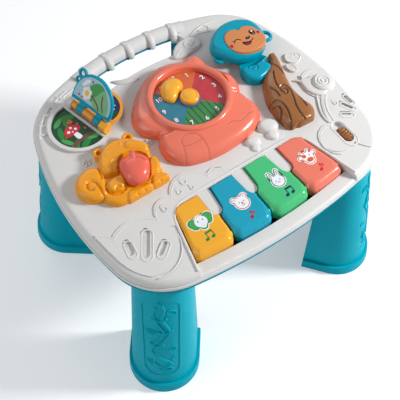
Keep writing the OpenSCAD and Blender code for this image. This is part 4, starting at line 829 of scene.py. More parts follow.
SQUIRREL_LINES = [smooth_line(line, 60) for line in (
    [(-143.6, -26.0), (-142.0, -18.0), (-140.7, -9.2), (-140.4, -1.1), (-142.3, 4.4), (-147.0, 5.4),
     (-151.0, 2.0), (-151.2, -3.6), (-147.4, -5.6)],
    [(-127.5, 1.5), (-121.5, -1.6), (-114.0, -3.2), (-109.0, -6.0)],
    [(-128.0, 18.0), (-129.5, 10.0), (-132.5, 2.0)],
    [(-135.0, -14.0), (-133.0, -21.0), (-126.0, -24.6), (-117.5, -23.2)],
    [(-126.5, -20.0), (-124.2, -18.6), (-122.0, -20.4)], [(-110.0, -40), (-110.0, -37.5)],
    [(-101.0, -40), (-101.0, -37.5)], [(-80.0, -40), (-80.0, -37.5)])]
squirrel = melt("squirrel_body", parts, SQUIRREL, "table", voxel=0.7, rounds=7, lines=SQUIRREL_LINES,
                wide=1.4, deep=2.6, cut=pocket)
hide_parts("squirrel")

# %% fur waves on the squirrel's head
FUR_WAVES = [[(-119, 7), (-112, 13), (-104, 15.0)], [(-94, 25), (-90, 28), (-86, 26.5), (-82.5, 27.5)],
             [(-113, 23), (-108, 26.5), (-102, 26)]]
ABOVE = 0.30                         # metres: rays are cast down from over the table

def heights(ob, points, missed):
    """The height of the object's top at each plan point, and missed where there is none."""
    hits = [ob.ray_cast((x * MM, y * MM, ABOVE), (0, 0, -1)) for x, y in points]
    return np.array([hit[1].z / MM if hit[0] else missed for hit in hits])

for i, wave in enumerate(FUR_WAVES):
    line = smooth_line(wave, 18)
    z = heights(squirrel, line, 250.0) - 0.25
    bead(f"squirrel_wave_{i}", np.column_stack([line, z]), 0.9, SQUIRREL, sides=8)
print(len(FUR_WAVES), "waves of fur")

# %% acorn
NUT = np.array([-95.0, -12.0])
NUT_FOOT, NUT_EDGE, NUT_TALL = 246.4, 249.4, 11.0
CUP_RISE = 1.2                                               # the cup stands over the nut
axis = np.array([math.cos(math.radians(64)), math.sin(math.radians(64))])
s = dome_shares(36, 0.01)
spot = shrunk(acorn_edge, NUT, s)
along = (spot - NUT) @ axis
across = (spot - NUT) @ np.array([-axis[1], axis[0]])
past = along - (8.8 - 0.036 * (across - 2.0)**2)             # how far up from the cup's bowed edge
cup = 1 / (1 + np.exp(-past / 0.4)) * (1 - s[:, None]**12)
z = (NUT_EDGE + NUT_TALL * (1 - s**2.8)**(1 / 2.3))[:, None] + CUP_RISE * cup
z -= 1.1 * dent(past, 0.9)
rings = np.vstack([at(acorn_edge, NUT_FOOT)[None], lifted(spot, z)])
acorn = skin("acorn_nut", rings, ACORN, "acorn", corner=70)
bead("acorn_stem", np.array([(-92.6, -1.4, 256.6), (-90.8, 2.2, 256.6), (-89.2, 5.6, 255.6)]),
     [4.4, 3.6, 2.9], ACORN, "acorn")
turned("acorn_post", [(4, 220.4), (4, 247.5), (0.5, 247.5)], (-95, -10), ACORN, "acorn", 32)
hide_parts("acorn_button")
print("acorn top", z.max().round(1))

# %% [markdown]
# ## The monkey
# The turning head is a round teal cap with a loop ear on each side and a flat face let into its
# top. A hair-line notch dips into the face's upper edge. The cap is a skin over rings that are
# drawn in as they rise, the ears are beads bent into loops, and the face is a plate with printed
# eyes, nose, mouth and cheeks laid on it.

# %% monkey head
HEAD = rounded([(71.6, 73.8), (74.4, 84.6), (83.2, 94.4), (96.0, 101.8), (109.5, 104.4), (122.6, 102.4),
                (132.4, 97.4), (139.6, 90.2), (142.6, 80.6), (142.8, 70.0), (139.8, 59.0),
                (133.6, 49.8), (124.0, 43.6), (113.0, 41.4), (102.0, 43.0), (92.6, 47.0), (84.2, 52.8),
                (77.0, 61.6)], 160)
CAP_EDGE, CAP_ROUND, CAP_RISE = 251.5, 8.5, 9.4              # the cap's upper edge: foot, width, height
EAR_LOOP_Z = 247.2
a = np.linspace(0, np.pi / 2, 14)
cap_rings = [(3.0, 243.6), (1.4, 244.1), (0.5, 245.2), (0.0, 247.5)]
cap_rings += list(zip(CAP_ROUND * (1 - np.cos(a)), CAP_EDGE + CAP_RISE * np.sin(a)))
cap_rings += [(13.0, 261.1), (20.0, 261.2)]
head = skin("monkey_cap", [at(inset(HEAD, d), z) for d, z in cap_rings], TEAL, "monkey")
for i, loop in enumerate((
        [(139, 71.6), (145.6, 71.0), (149.6, 67.8), (150.6, 63.0), (148.6, 58.6), (144.6, 57.2),
         (138, 58.4)],
        [(78, 73.8), (73.6, 72.0), (71.0, 67.0), (73.0, 62.6), (77.6, 61.0), (82, 62.0)])):
    bead(f"monkey_ear_{i}", at(smooth_line(loop, 40), EAR_LOOP_Z), 2.4, TEAL, "monkey")
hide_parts("monkey_head")
turned("monkey_collar", [(19, 234.4), (19, 244), (0.5, 244)], (108, 70), TEAL, "monkey", 64)
print("monkey cap", len(cap_rings), "rings")

# %% monkey face
FACE = rounded([(96.6, 84.0), (103.7, 86.2), (109.9, 84.6), (114.2, 81.0), (119.4, 82.7), (125.1, 81.4),
                (130.8, 77.0), (133.9, 69.6), (135.2, 61.5), (134.9, 54.4), (131.8, 48.6),
                (124.9, 44.4), (115.1, 42.8), (103.9, 44.8), (94.8, 50.0), (89.9, 57.3), (88.4, 65.7),
                (89.9, 74.1), (92.6, 80.0)], 160)
FACE_TOP = 262.4
face_lay = in_plane((0, 0, FACE_TOP), (1, 0, 0), (0, 1, 0))
face = plate("monkey_face_plate", FACE, 254.0, FACE_TOP, FACE_TAN, "monkey", 1.2)
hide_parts("monkey_face")

INK_UP, INK_DOWN = 0.12, 0.5         # a print stands over its level and reaches into what carries it

def paint(name, outline, level, ink, body, lay):
    """A printed patch: a thin plate on its own level."""
    return plate(name, np.asarray(outline, float), level - INK_DOWN, level + INK_UP, INK[ink], body,
                 0.0, lay)

def stroke(name, points, width, level, ink, body, lay, n=20):
    """A printed line with round ends, width wide, as a flat closed outline."""
    line = smooth_line(points, n)
    along = np.gradient(line, axis=0)
    along /= np.linalg.norm(along, axis=1)[:, None]
    side = np.column_stack([-along[:, 1], along[:, 0]])
    half = width / 2
    t = np.linspace(-np.pi / 2, np.pi / 2, 7)[1:-1]
    last_end = [line[-1] + half * (math.cos(q) * along[-1] + math.sin(q) * side[-1]) for q in t]
    first_end = [line[0] - half * (math.cos(q) * along[0] + math.sin(q) * side[0]) for q in t]
    outline = np.vstack([line - half * side, last_end, (line + half * side)[::-1], first_end])
    return paint(name, outline, level, ink, body, lay)

def feature(name, points, ink, step=0.0):
    """A printed patch of the face, step mm above the first ink."""
    paint("monkey_" + name, points, step, ink, "monkey", face_lay)

def face_line(name, points, width):
    """A black printed line of the face."""
    stroke("monkey_" + name, points, width, 0.0, "black", "monkey", face_lay)

SECOND_INK = 0.05                    # mm over the first
feature("eye", circle(125.3, 68.0, 4.5, 36, 0.74, -70), "black")
feature("eye_light", circle(125.9, 69.9, 1.25, 20), "white", SECOND_INK)
feature("eye_glint", circle(125.6, 65.8, 0.6, 16), "white", SECOND_INK)
face_line("wink", [(97.4, 66.2), (100.6, 68.6), (103.9, 68.6), (106.4, 65.6)], 1.3)
face_line("lash", [(96.8, 69.2), (98.8, 68.0)], 0.9)
feature("nose", circle(115.9, 63.8, 3.4, 32, 0.66, 8), "black")
feature("nose_light", circle(116.6, 64.7, 0.8, 16, 0.6), "white", SECOND_INK)
feature("mouth", rounded([(106.2, 61.8), (105.5, 58.6), (107.2, 55.0), (111.2, 53.6), (114.8, 55.0),
                          (116.4, 57.8), (112.6, 58.6), (109.2, 60.2)], 60), "black")
feature("tongue", rounded([(107.4, 58.2), (108.4, 55.9), (111.4, 54.7), (113.8, 55.9),
                           (111.0, 56.8)], 40), "cheek", SECOND_INK)
face_line("smile", [(116.0, 57.8), (118.8, 58.2), (120.6, 60.0)], 0.9)
feature("cheek_1", circle(91.6, 63.4, 2.1, 24, 1.2), "cheek")
feature("cheek_2", circle(131.6, 64.2, 1.9, 24, 1.2), "cheek")
print("monkey face")

# %% [markdown]
# ## The monkey's arm and the tree trunk
# The arm is a fist-like cushion with an embossed curl, holding the trunk's thin end. The trunk
# is a bent, tapering ridge: its section is half a rounded square, carried along a curve, and
# lines for the bark are pressed into it, each with a low lip beside it. The same distance that
# presses the lines also darkens them with painted shade, through a point attribute that the
# material reads.

# %% arm
ARM = [(96.0, 50.4), (91.8, 46.0), (88.4, 40.6), (86.0, 32.0), (87.2, 23.8), (91.8, 18.0), (98.8, 14.4),
       (105.6, 15.2), (111.9, 16.6), (119.6, 20.0), (123.0, 24.6), (121.8, 29.6), (119.8, 32.4),
       (121.4, 34.8), (125.4, 37.2), (127.0, 42.0), (122.6, 47.4), (110.8, 50.0)]
arm_edge = rounded(ARM, 200)
PALM = np.array([104.0, 31.0])
HEAD_MIDDLE, HEAD_CLEAR = (108.0, 70.0), 34.0                # the arm stays low under the turning head
ARM_EDGE, ARM_RISE = 243.0, 5.2
LOW_EDGE, LOW_RISE = 242.9, 6.0
s = 1 - np.linspace(0, 1, 60)**1.6 * 0.99
spot = shrunk(arm_edge, PALM, s)
t = np.linspace(0, 1, 80)
curl_r = 1.0 + 5.6 * t
swirl = swept((101.6, 31.6), curl_r, 0.4 + 8.6 * t)
soft = np.clip(from_line(spot, closed(arm_edge)) / 5.0, 0, 1)
z = ARM_EDGE + ARM_RISE * np.sqrt(1 - (1 - soft)**2) - dent(from_line(spot, swirl), 0.75)
reach = np.hypot(spot[..., 0] - HEAD_MIDDLE[0], spot[..., 1] - HEAD_MIDDLE[1])
z = np.minimum(z, LOW_EDGE + LOW_RISE * np.clip((reach - HEAD_CLEAR) / 2.0, 0, 1)**2)
spot = np.concatenate([spot[:1], spot])
z = np.concatenate([np.full((1, len(arm_edge)), DECK - 0.2), z])
arm_skin = skin("monkey_arm_skin", lifted(spot, z), TEAL, corner=75)
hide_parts("monkey_arm")
print("arm top", z.max().round(1))

# %% trunk
# each way point: x, y, half width, height
TRUNK = np.array([(104.6, -64.0, 8.0, 11.0), (104.8, -60.8, 17.0, 13.6), (104.2, -53.0, 22.2, 15.4),
                  (103.2, -43.0, 21.6, 16.2), (102.8, -32.0, 20.6, 16.4), (104.2, -20.0, 19.4, 16.4),
                  (107.8, -8.3, 17.4, 16.0), (113.7, 3.9, 15.6, 15.4), (121.6, 14.6, 11.6, 14.6),
                  (129.6, 24.8, 7.0, 12.6), (134.0, 33.4, 5.9, 9.6), (136.4, 40.6, 4.6, 9.2)])
BARK_LINES = [
    [(117.0, 14.0), (110.6, 3.4), (106.6, -6.6), (105.2, -16.1), (106.6, -23.0), (110.9, -21.6),
     (111.7, -16.6), (108.4, -15.0)],
    [(107.2, -11.2), (111.6, -10.2), (115.0, -13.2), (115.2, -21.0), (110.6, -32.7), (105.0, -45.0),
     (103.4, -56.2), (103.6, -63)],
    [(84.0, -22.4), (90.6, -23.4), (94.6, -31.0), (93.2, -43.0), (89.6, -53.0), (86.0, -60)],
    [(84.4, -28.0), (88.8, -31.4), (87.4, -39.4), (82.6, -44.4)],
    [(122.6, 27.0), (125.2, 20.6), (126.4, 12.9), (125.7, 4.4)],
    [(98.0, -4.0), (99.4, -14.0), (98.4, -22.0)],
    [(120.0, -30.0), (117.6, -40.0), (116.4, -50.0)]]
BARK_DEPTH, BARK_LIP = 1.5, 0.35
TRUNK_FOOT = DECK - 0.2
way = smooth_line(TRUNK, 150)
along = np.gradient(way[:, :2], axis=0)
along /= np.linalg.norm(along, axis=1)[:, None]
side = np.column_stack([along[:, 1], -along[:, 0]])
v = np.sin(np.linspace(-np.pi / 2, np.pi / 2, 72))
spot = way[:, None, :2] + side[:, None] * (way[:, 2:3] * v)[..., None]
rise = way[:, 3:4] * (1 - np.abs(v)**3.2)**(1 / 2.4)
near = np.minimum.reduce([from_line(spot, smooth_line(line, 50)) for line in BARK_LINES])
pressed = dent(near, 0.85)
lip = dent(near - 2.0, 0.8)
z = TRUNK_FOOT + np.maximum(rise + (BARK_LIP * lip - BARK_DEPTH * pressed) * (rise > 2), 0)
under = spot[:, ::-1][:, 8:-8:8]                             # a few points back along the flat foot
rings = np.concatenate([lifted(spot, z), lifted(under, np.full(under.shape[:2], TRUNK_FOOT))], 1)
# painted shade: the pressed bark lines are darkened in colour
marks = np.concatenate([pressed, np.zeros(under.shape[:2])], 1).ravel()
trunk = skin("trunk_bark", rings, BARK, marks={"groove": marks}, corner=50)
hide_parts("tree_trunk")
print("trunk", rings.shape)

# %% [markdown]
# ## Little reliefs on the deck
# The white deck carries shallow pictures in its own colour: a snail, leaves, mushrooms, tiny
# flowers, a bamboo rail along its left edge and a bright raised lip round the key bay. They are
# cushions, plates and beads that start inside the deck, so that no gap shows under them.

# %% lip round the keys
def on_deck(points, step=0.0):
    """The points with the height of the white cover under them, plus step; 0 beside the cover."""
    return np.column_stack([points, heights(node["top_cover"], points, 0.0) + step])

def deck_line(name, points, r, step, n, draped=False):
    """A white bead on the deck, half sunk into it; draped lets it follow the rounded rim."""
    xy = smooth_line(points, n)
    path = on_deck(xy, step) if draped else at(xy, DECK + step)
    return bead(name, path, r, SHELL, sides=12, flat=0.8)

LIP = [(-108.5, -147), (-103.0, -123), (-97.0, -98), (-94.2, -86.5), (-89.0, -75.5), (-79.5, -68.8),
       (-66, -66.8), (-30, -66.8)]
deck_line("bay_lip", LIP + [(0, -66.8)] + [(-x, y) for x, y in LIP[::-1]], 1.6, 0.5, 220)
print("lip of the key bay")

# %% cloud edges of the pads
# each pad: x, y, radius
PADS = [(-138, -96, 37), (-89, -75, 20), (-55, -68, 27), (-24, -74, 18), (-176, -69, 15),
        (195, -92, 66), (123, -102, 21), (160, -26, 22)]
spread = np.radians(np.arange(0, 361, 3))
for i, (px, py, pr) in enumerate(PADS):
    arc = swept((px, py), pr, spread)
    level = on_deck(arc)[:, 2]
    own = (level > DECK - 0.3) & (level < DECK + 1.6)           # on the flat, not on another relief
    for j, (qx, qy, qr) in enumerate(PADS):
        if j != i:
            own &= np.hypot(arc[:, 0] - qx, arc[:, 1] - qy) > qr - 0.3
    own &= ~((arc[:, 1] < -66) & (np.abs(arc[:, 0]) < 100))     # not over the keys
    own &= ~((arc[:, 1] < -85) & (arc[:, 0] > 112))              # smooth in front of the switch
    runs = np.split(np.arange(len(own)), np.flatnonzero(np.diff(own.astype(int))) + 1)
    for j, run in enumerate(r for r in runs if own[r[0]] and len(r) > 4):
        deck_line(f"pad_edge_{i}_{j}", arc[run], 0.9, 0.8, 3 * len(run))
PAD_DOTS = [(-58, -49, 3.1), (-54, -60, 2.1), (-69, -57, 2.6), (-95, -66, 2.9), (154, -60, 2.1)]
for i, dot in enumerate(PAD_DOTS):
    deck_line(f"pad_dot_{i}", closed(circle(*dot, 28)), 0.7, 1.6, 40)
print(len(PADS), "pads")

# %% rims of the slots and of the switch
def stadium(x, y, long, wide, turn):
    """A slot's outline: two half circles joined by straight sides."""
    t = np.linspace(-np.pi / 2, np.pi / 2, 14)
    u = np.r_[(long - wide) / 2 + wide / 2 * np.cos(t), -(long - wide) / 2 - wide / 2 * np.cos(t)]
    v = np.r_[wide / 2 * np.sin(t), -wide / 2 * np.sin(t)]
    return rotated(u, v, x, y, turn)

# each slot: x, y, length, width, turn
SLOTS = [(-135.5, -92.5, 37, 10.5, 56), (-153, -87, 21, 8.5, 79), (-124, -107, 21, 8.5, 37),
         (170.5, -65.5, 17, 4.5, 93), (163, -72.5, 19, 5, 115), (154, -81.5, 15, 5.5, 143)]
RIM_GAP = 1.6                        # a rim lies this much wider than its slot
for i, (x, y, long, wide, turn) in enumerate(SLOTS):
    edge = stadium(x, y, long + RIM_GAP, wide + RIM_GAP, turn)
    deck_line(f"slot_rim_{i}", closed(edge), 0.95, 1.1, 110)
deck_line("switch_rim", closed(stadium(134, -99.3, 39.9, 16.8, 90)), 1.1, 0.9, 120)
knob_points = np.array([v.co[:] for v in node["switch_knob"].data.vertices]) / MM
low, high = knob_points.min(0), knob_points.max(0)
RIDGE_STEP, RIDGE_INSET = 4.0, 2.2
for i in range(4):
    ridge_y = (low[1] + high[1]) / 2 + RIDGE_STEP * (i - 1.5)
    ridge = [(low[0] + RIDGE_INSET, ridge_y, high[2] - 0.1),
             ((low[0] + high[0]) / 2, ridge_y, high[2] + 0.1),
             (high[0] - RIDGE_INSET, ridge_y, high[2] - 0.1)]
    bead(f"knob_ridge_{i}", ridge, 1.0, BARK, "knob")
print(len(SLOTS), "slots and the switch")

# %% snail
RELIEF_FOOT = DECK - 1                                       # inside the deck
SNAIL_SHELL, SHELL_TALL = (161.2, -28.0), 6.8
SNAIL_BODY = rounded([(139.7, -11), (144.8, -7.4), (149.6, -10.6), (157.9, -11), (169.6, -15.9),
                      (175.3, -24.7), (174.2, -35.2), (165.8, -42), (157.6, -41.4), (150.2, -42.1),
                      (142, -36.4), (138, -25.7), (139.0, -17.4)], 96)
plate("snail_body", SNAIL_BODY, RELIEF_FOOT, DECK + 4.0, SHELL, edge=2.6)
plate("snail_shell", circle(*SNAIL_SHELL, 12.6, 64), RELIEF_FOOT, DECK + SHELL_TALL, SHELL, edge=2.6)
t = np.linspace(0, 1, 110)
turn, coil_r = np.radians(200 - 900 * t), 1.4 + 9.6 * t
coil = lifted(swept(SNAIL_SHELL, coil_r, turn), DECK + SHELL_TALL + 0.1 - 0.8 * t**4)
bead("snail_coil", coil, 1.15, SHELL, sides=12, flat=0.8)
for i, horn in enumerate(([(141, -11), (137.5, -6.0)], [(145.5, -9), (147.5, -4.0)])):
    deck_line(f"snail_horn_{i}", horn, 1.3, 2.4, 10)
channel = [[(144.1, -37.4), (137.5, -48.3), (131.8, -59.7), (129.4, -70.1), (130.4, -80.2)],
           [(153.1, -43.6), (144.8, -53.4), (139.1, -64.7), (136.2, -77.6)]]
for i, line in enumerate(channel):
    deck_line(f"snail_trail_{i}", line, 1.3, 0.9, 50)
print("snail")

# %% leaves
# each leaf: its edge and its veins
LEAVES = [([(152.5, 33.6), (159.3, 32.4), (165.6, 28.0), (168.0, 22.4), (163.4, 17.4), (155.4, 15.8),
            (148.4, 21.0), (147.4, 27.4)],
           [[(149.5, 24.0), (158.0, 24.4), (166.4, 23.0)], [(155.0, 24.4), (159.6, 29.4)],
            [(154.4, 24.2), (158.4, 18.6)], [(160.4, 24.0), (163.6, 27.6)],
            [(160.0, 23.8), (162.6, 19.8)]]),
          ([(143.0, 20.1), (149.7, 17.1), (151.3, 10.4), (148.4, 5.0), (142.8, 7.0), (140.2, 14.3)],
           [[(146.6, 17.0), (148.4, 12.0), (146.2, 9.4), (144.0, 11.6), (145.6, 13.6)]])]
LEAF_TOP = 2.6                                               # over the deck
for i, (points, veins) in enumerate(LEAVES):
    edge = rounded(points, 64)
    plate(f"leaf_{i}", edge, RELIEF_FOOT, DECK + LEAF_TOP, SHELL, edge=1.2)
    deck_line(f"leaf_rim_{i}", closed(inset(edge, 0.9)), 0.8, LEAF_TOP + 0.1, 100)
    for j, vein in enumerate(veins):
        deck_line(f"leaf_vein_{i}_{j}", vein, 0.6, LEAF_TOP, 20)
print(len(LEAVES), "leaves")

# %% mushrooms
# each mushroom: x, y, radius of its cap, height, and its stem's circle
MUSHROOMS = [(67.0, -41.0, 12.8, 7.4, (64.2, -54.0, 7.2)), (39.4, -49.0, 9.2, 5.6, (37.0, -57.6, 5.2))]
# each dot on a cap, x, y and radius, as shares of the cap's radius
CAP_DOTS = [(-0.42, 0.22, 0.16), (0.1, 0.3, 0.13), (0.36, -0.2, 0.17), (-0.1, -0.3, 0.12)]
CUSHION_FOOT = DECK - 0.8
for i, (x, y, wide, tall, stem) in enumerate(MUSHROOMS):
    cap = circle(x, y, wide, 72, 0.78, -28)
    cushion(f"mushroom_stem_{i}", circle(*stem, 40), CUSHION_FOOT, DECK + tall - 2.4, SHELL, power=3.0)
    cushion(f"mushroom_cap_{i}", cap, CUSHION_FOOT, DECK + tall, SHELL, power=3.0)
    for j, (dx, dy, dr) in enumerate(CAP_DOTS):
        dot = circle(x + dx * wide, y + dy * wide, dr * wide, 24)
        lift = tall * (1 - 0.32 * (dx**2 + dy**2)) - 0.35
        deck_line(f"mushroom_dot_{i}_{j}", closed(dot), 0.5, lift, 36)
print(len(MUSHROOMS), "mushrooms")

# %% flowers
FLOWERS = [(-131.5, 36), (-59.0, 19.5)]
PETALS, PETAL_WAY, PETAL_R = 5, 3.8, 2.3
FLOWER_FOOT = DECK - 0.5
for i, (x, y) in enumerate(FLOWERS):
    for j in range(PETALS):
        a = math.radians(360 / PETALS * j + 20)
        petal = circle(x + PETAL_WAY * math.cos(a), y + PETAL_WAY * math.sin(a), PETAL_R, 20)
        cushion(f"flower_{i}_{j}", petal, FLOWER_FOOT, DECK + 1.8, SHELL)
    cushion(f"flower_{i}_eye", circle(x, y, 1.7, 20), FLOWER_FOOT, DECK + 2.2, SHELL)
print(len(FLOWERS), "flowers")

# %% bamboo rail at the left
RAIL = smooth_line([(-157.5, 96), (-150.5, 107.5), (-139.5, 119.5), (-127.5, 127.6), (-114.5, 133.8),
                    (-98, 139.0)], 60)
RAIL_JOINTS = (4, 15, 27, 39, 51)                            # points of the rail
deck_line("rail_outer", RAIL, 1.7, 0.3, 80, draped=True)
toward = -RAIL / np.linalg.norm(RAIL, axis=1)[:, None]
for i, k in enumerate(RAIL_JOINTS):
    joint = [RAIL[k] - 1.6 * toward[k], RAIL[k] + 6.5 * toward[k]]
    deck_line(f"rail_joint_{i}", joint, 1.9, 0.4, 10, draped=True)
deck_line("rail_stub", [(-120.0, 130.5), (-113.5, 122.5)], 3.0, -0.4, 12, draped=True)
deck_line("rail_branch", [(-109.0, 131.5), (-99.0, 135.0), (-89.0, 137.0)], 1.4, 0.3, 30, draped=True)

# %% leaves beside the handle
HANDLE_LEAF = rounded([(37.0, 106.0), (41.0, 115.0), (50.0, 122.5), (62.0, 126.0), (74.0, 123.5),
                       (81.0, 114.0), (76.0, 105.0), (64.0, 102.5), (50.0, 101.0)], 110)
HANDLE_VEINS = [[(40.5, 107), (47.5, 110.5), (54.5, 111.5)],
                [(45.5, 115.5), (50.0, 113.6), (54.0, 114.6)],
                [(46.0, 104.5), (50.5, 106.8), (55.0, 106.4)]]
RIM_LEAF = [[(76, 127), (88, 132), (101, 133.4), (116, 131.5)], [(79, 125), (90, 124.6), (99.8, 120.6)],
            [(99.8, 120.6), (103.5, 126.0), (101.0, 132.6)], [(88, 131.6), (90, 128.0), (90, 124.8)]]
HOLE_LEAF = rounded([(-47, 122), (-36, 117.5), (-20, 112.5), (-12, 106), (-24, 104.5), (-38, 110)], 60)
CURL, CURL_Z = (66, 114), DECK + 4.6
plate("handle_leaf", HANDLE_LEAF, 226.0, CURL_Z, SHELL, edge=3.0)
t = np.linspace(0, 1, 70)
turn = np.radians(150 + 500 * t)
curl = np.column_stack([CURL[0] + (1.2 + 8.2 * t) * np.cos(turn),
                        CURL[1] + (1.2 + 7.6 * t) * np.sin(turn)])
bead("handle_curl", at(curl, CURL_Z), 1.0, SHELL, sides=12)
for i, vein in enumerate(HANDLE_VEINS):
    deck_line(f"handle_vein_{i}", vein, 0.8, 4.5, 20)
for i, vein in enumerate(RIM_LEAF):
    deck_line(f"rim_leaf_{i}", vein, 1.3, 0.3, 30, draped=True)
cushion("hole_leaf", HOLE_LEAF, CUSHION_FOOT, DECK + 2.4, SHELL)
deck_line("hole_leaf_vein", [(-43, 118.5), (-30, 112.5), (-16, 107)], 0.8, 2.2, 20)
print("leaves at the handle")

# %% little arch behind the keys
t = np.radians(np.linspace(20, 165, 24))
ARCH, ARCH_R = (-20.5, -62), 11
deck_line("bay_arch", swept(ARCH, ARCH_R, t), 0.9, 0.7, 40)
print("arch")

# %% bands of the bamboo handle
BAR_MIDDLE, BAR_BEND, BAR_Z = (0.0, -154.0), 308.0, 228.0    # middle and radius of its bend
BAR_R, BAND_RISE = 10.2, 2.1
BAND_STEP, BAND_HALF = 5.8, 0.66                             # degrees along the bar
u = np.linspace(-1, 1, 11)
around = np.linspace(-0.02, 1.02, 26) * np.pi
for k in range(-2, 3):
    a = np.radians(90 - BAND_STEP * k - BAND_HALF * u)[:, None]
    r = (BAR_R + BAND_RISE * np.sqrt(1 - 0.98 * u**2))[:, None]
    out = BAR_BEND + r * np.cos(around)
    band = np.stack([BAR_MIDDLE[0] + out * np.cos(a), BAR_MIDDLE[1] + out * np.sin(a),
                     BAR_Z + r * np.sin(around)], -1)
    skin(f"handle_band_{k + 2}", band, SHELL)
print("bands of the handle")

# %% [markdown]
# ## The keys
# A key's top is flat, falls off gently at its nose and more sharply at its sides, and is left
# square at the back, where the deck covers it. A bevel modifier would round every edge alike, so
# the height of each point is worked out from its distance to the nose, the sides and the back.

# %% key caps
KEY_EDGE = {       # the left side, the front and the right side; then the narrow back with its notch
    "key_1": ([(-89.9, -79.6), (-93.2, -95.0), (-97.4, -113.0), (-100.0, -124.6)],
              [(-101.0, -129.6), (-99.6, -134.4), (-95.0, -137.2), (-76.0, -139.4), (-61.0, -140.3),
               (-55.6, -138.6), (-52.4, -133.8)],
              [(-51.6, -128.0), (-51.0, -120.0), (-50.4, -108.4)],
              [(-51.4, -105.6), (-54.2, -104.2), (-56.2, -99.4), (-56.5, -97), (-56.3, -85),
               (-56.2, -73.2), (-57.4, -71.8), (-66, -71.7), (-79.0, -71.8), (-85.0, -74.2)]),
    "key_2": ([(-49.0, -108.6), (-49.8, -120.0), (-50.2, -129.0)],
              [(-50.0, -134.6), (-47.0, -139.4), (-40.6, -141.2), (-24.0, -142.2), (-10.0, -142.4),
               (-4.4, -140.0), (-1.2, -135.0)],
              [(-0.8, -129.0), (-0.7, -120.0), (-0.7, -109.6)],
              [(-1.4, -106.6), (-4.4, -104.0), (-7.0, -99.4), (-7.7, -97), (-8.6, -84), (-9.2, -73.2),
               (-10.4, -71.8), (-24, -71.7), (-36.8, -71.8), (-38.0, -73.2), (-39.4, -84), (-41.2, -97),
               (-42.2, -100.4), (-45.4, -105.0)])}
for other, key in (("key_3", "key_2"), ("key_4", "key_1")):
    KEY_EDGE[other] = tuple([(-x, y) for x, y in part] for part in KEY_EDGE[key])

# each key: its plastic, the middle of its arm
KEYS = {"key_1": (YELLOW, -63.5), "key_2": (KEYBLUE, -23.5), "key_3": (GREEN, 23.5), "key_4": (ROSE, 63.5)}
SIDE_R, NOSE_R, BACK_R, DEEPEST = 4.8, 9.5, 1.0, 15.0        # round edges, and how far they may fall
CAP_WALL, CAP_FOOT, CAP_CEILING = 1.8, 220.2, 226.0
ARM_HALF, ARM_BACK, ARM_FRONT, ARM_LOW, ARM_HIGH = 9.8, -53.8, -74, 219.5, 228.5

def worn(d, r):
    """How far a round edge of radius r has dropped at distance d from the side."""
    return r - np.sqrt(r**2 - np.clip(r - d, 0, r)**2)

for key, (plastic, arm_x) in KEYS.items():
    left, front, right, back = KEY_EDGE[key]
    edge = rounded(left + front + right + back, 260)
    spot = shrunk(edge, edge.mean(0), 1 - np.linspace(0, 1, 44)**2.2 * 0.97)
    side = np.minimum(from_line(spot, np.array(left)), from_line(spot, np.array(right)))
    nose = from_line(spot, smooth_line(front, 20))
    rest = from_line(spot, np.array([right[-1]] + back + [left[0]]))
    z = KEY_TOP - np.minimum(worn(side, SIDE_R) + worn(nose, NOSE_R) + worn(rest, BACK_R), DEEPEST)
    hollow = inset(edge, CAP_WALL)                            # the cap is open below, like a real one
    rings = np.concatenate([at(hollow, CAP_CEILING)[None], at(hollow, CAP_FOOT)[None],
                            at(spot[0], CAP_FOOT)[None], lifted(spot, z)])
    cap = skin(key + "_cap", rings, plastic, key, corner=70)
    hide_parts(key)
    arm_edge = np.array([(arm_x - ARM_HALF, ARM_FRONT), (arm_x + ARM_HALF, ARM_FRONT),
                         (arm_x + ARM_HALF, ARM_BACK), (arm_x - ARM_HALF, ARM_BACK)])
    plate(key + "_arm", arm_edge, ARM_LOW, ARM_HIGH, plastic, key)
print("key caps")

# %% [markdown]
# ## Stickers on the keys
# Each key carries a die-cut sticker of an animal's head with a coloured outline, and below it a
# plain music note in the same ink. A sticker is a stack of thin plates: the white paper, the
# outline, the head's colour, and the features. Their outlines are unions of circles, read as one
# radius for each direction.

# %% sticker helpers
def sticker(key, x, y, circles, line, fill, features):
    """Paper, outline and fill from the same circles, each drawn in more than the last, and then
    the features: dots (circle, squash) and lines (points, width), each on a level of its own."""
    lay = in_plane((x, y, KEY_TOP), (1, 0, 0), (0, 1, 0))
    c = np.asarray(circles, float)
    outer = union(c)
    paint(f"{key}_paper", inset(outer, -1.0), 0.0, "white", key, lay)
    paint(f"{key}_outline", outer, 0.08, line, key, lay)
    paint(f"{key}_fill", union(np.column_stack([c[:, :2], c[:, 2] - 0.85])), 0.16, fill, key, lay)
    for i, (kind, ink, shape, *more) in enumerate(features):
        level = 0.24 + 0.04 * i / 8
        if kind == "dot":
            paint(f"{key}_mark_{i}", circle(*shape, 20, *more), level, ink, key, lay)
        else:
            stroke(f"{key}_mark_{i}", shape, *more, level, ink, key, lay)

def note(key, x, y, ink, double):
    """A plain music note: one head with a flag, or two heads joined by a beam."""
    lay = in_plane((x, y, KEY_TOP), (1, 0, 0), (0, 1, 0))
    for i, dx in enumerate((-4.2, 3.4) if double else (-1.6,)):
        stem = [(dx + 1.5, -3), (dx + 2.5, -3), (dx + 2.5, 4.6), (dx + 1.5, 4.6)]
        paint(f"{key}_note_head_{i}", circle(dx, -3.2, 2.5, 24, 0.74, 20), 0.02, ink, key, lay)
        paint(f"{key}_note_stem_{i}", stem, 0.03, ink, key, lay)
    if double:
        paint(f"{key}_note_beam", [(-2.7, 3.0), (5.9, 3.0), (5.9, 5.4), (-2.7, 5.4)], 0.04, ink, key, lay)
    else:
        stroke(f"{key}_note_flag", [(0.6, 4.2), (2.2, 2.6), (3.6, 1.8), (3.2, -0.4)], 1.5, 0.04, ink,
               key, lay)

print("sticker helpers ready")

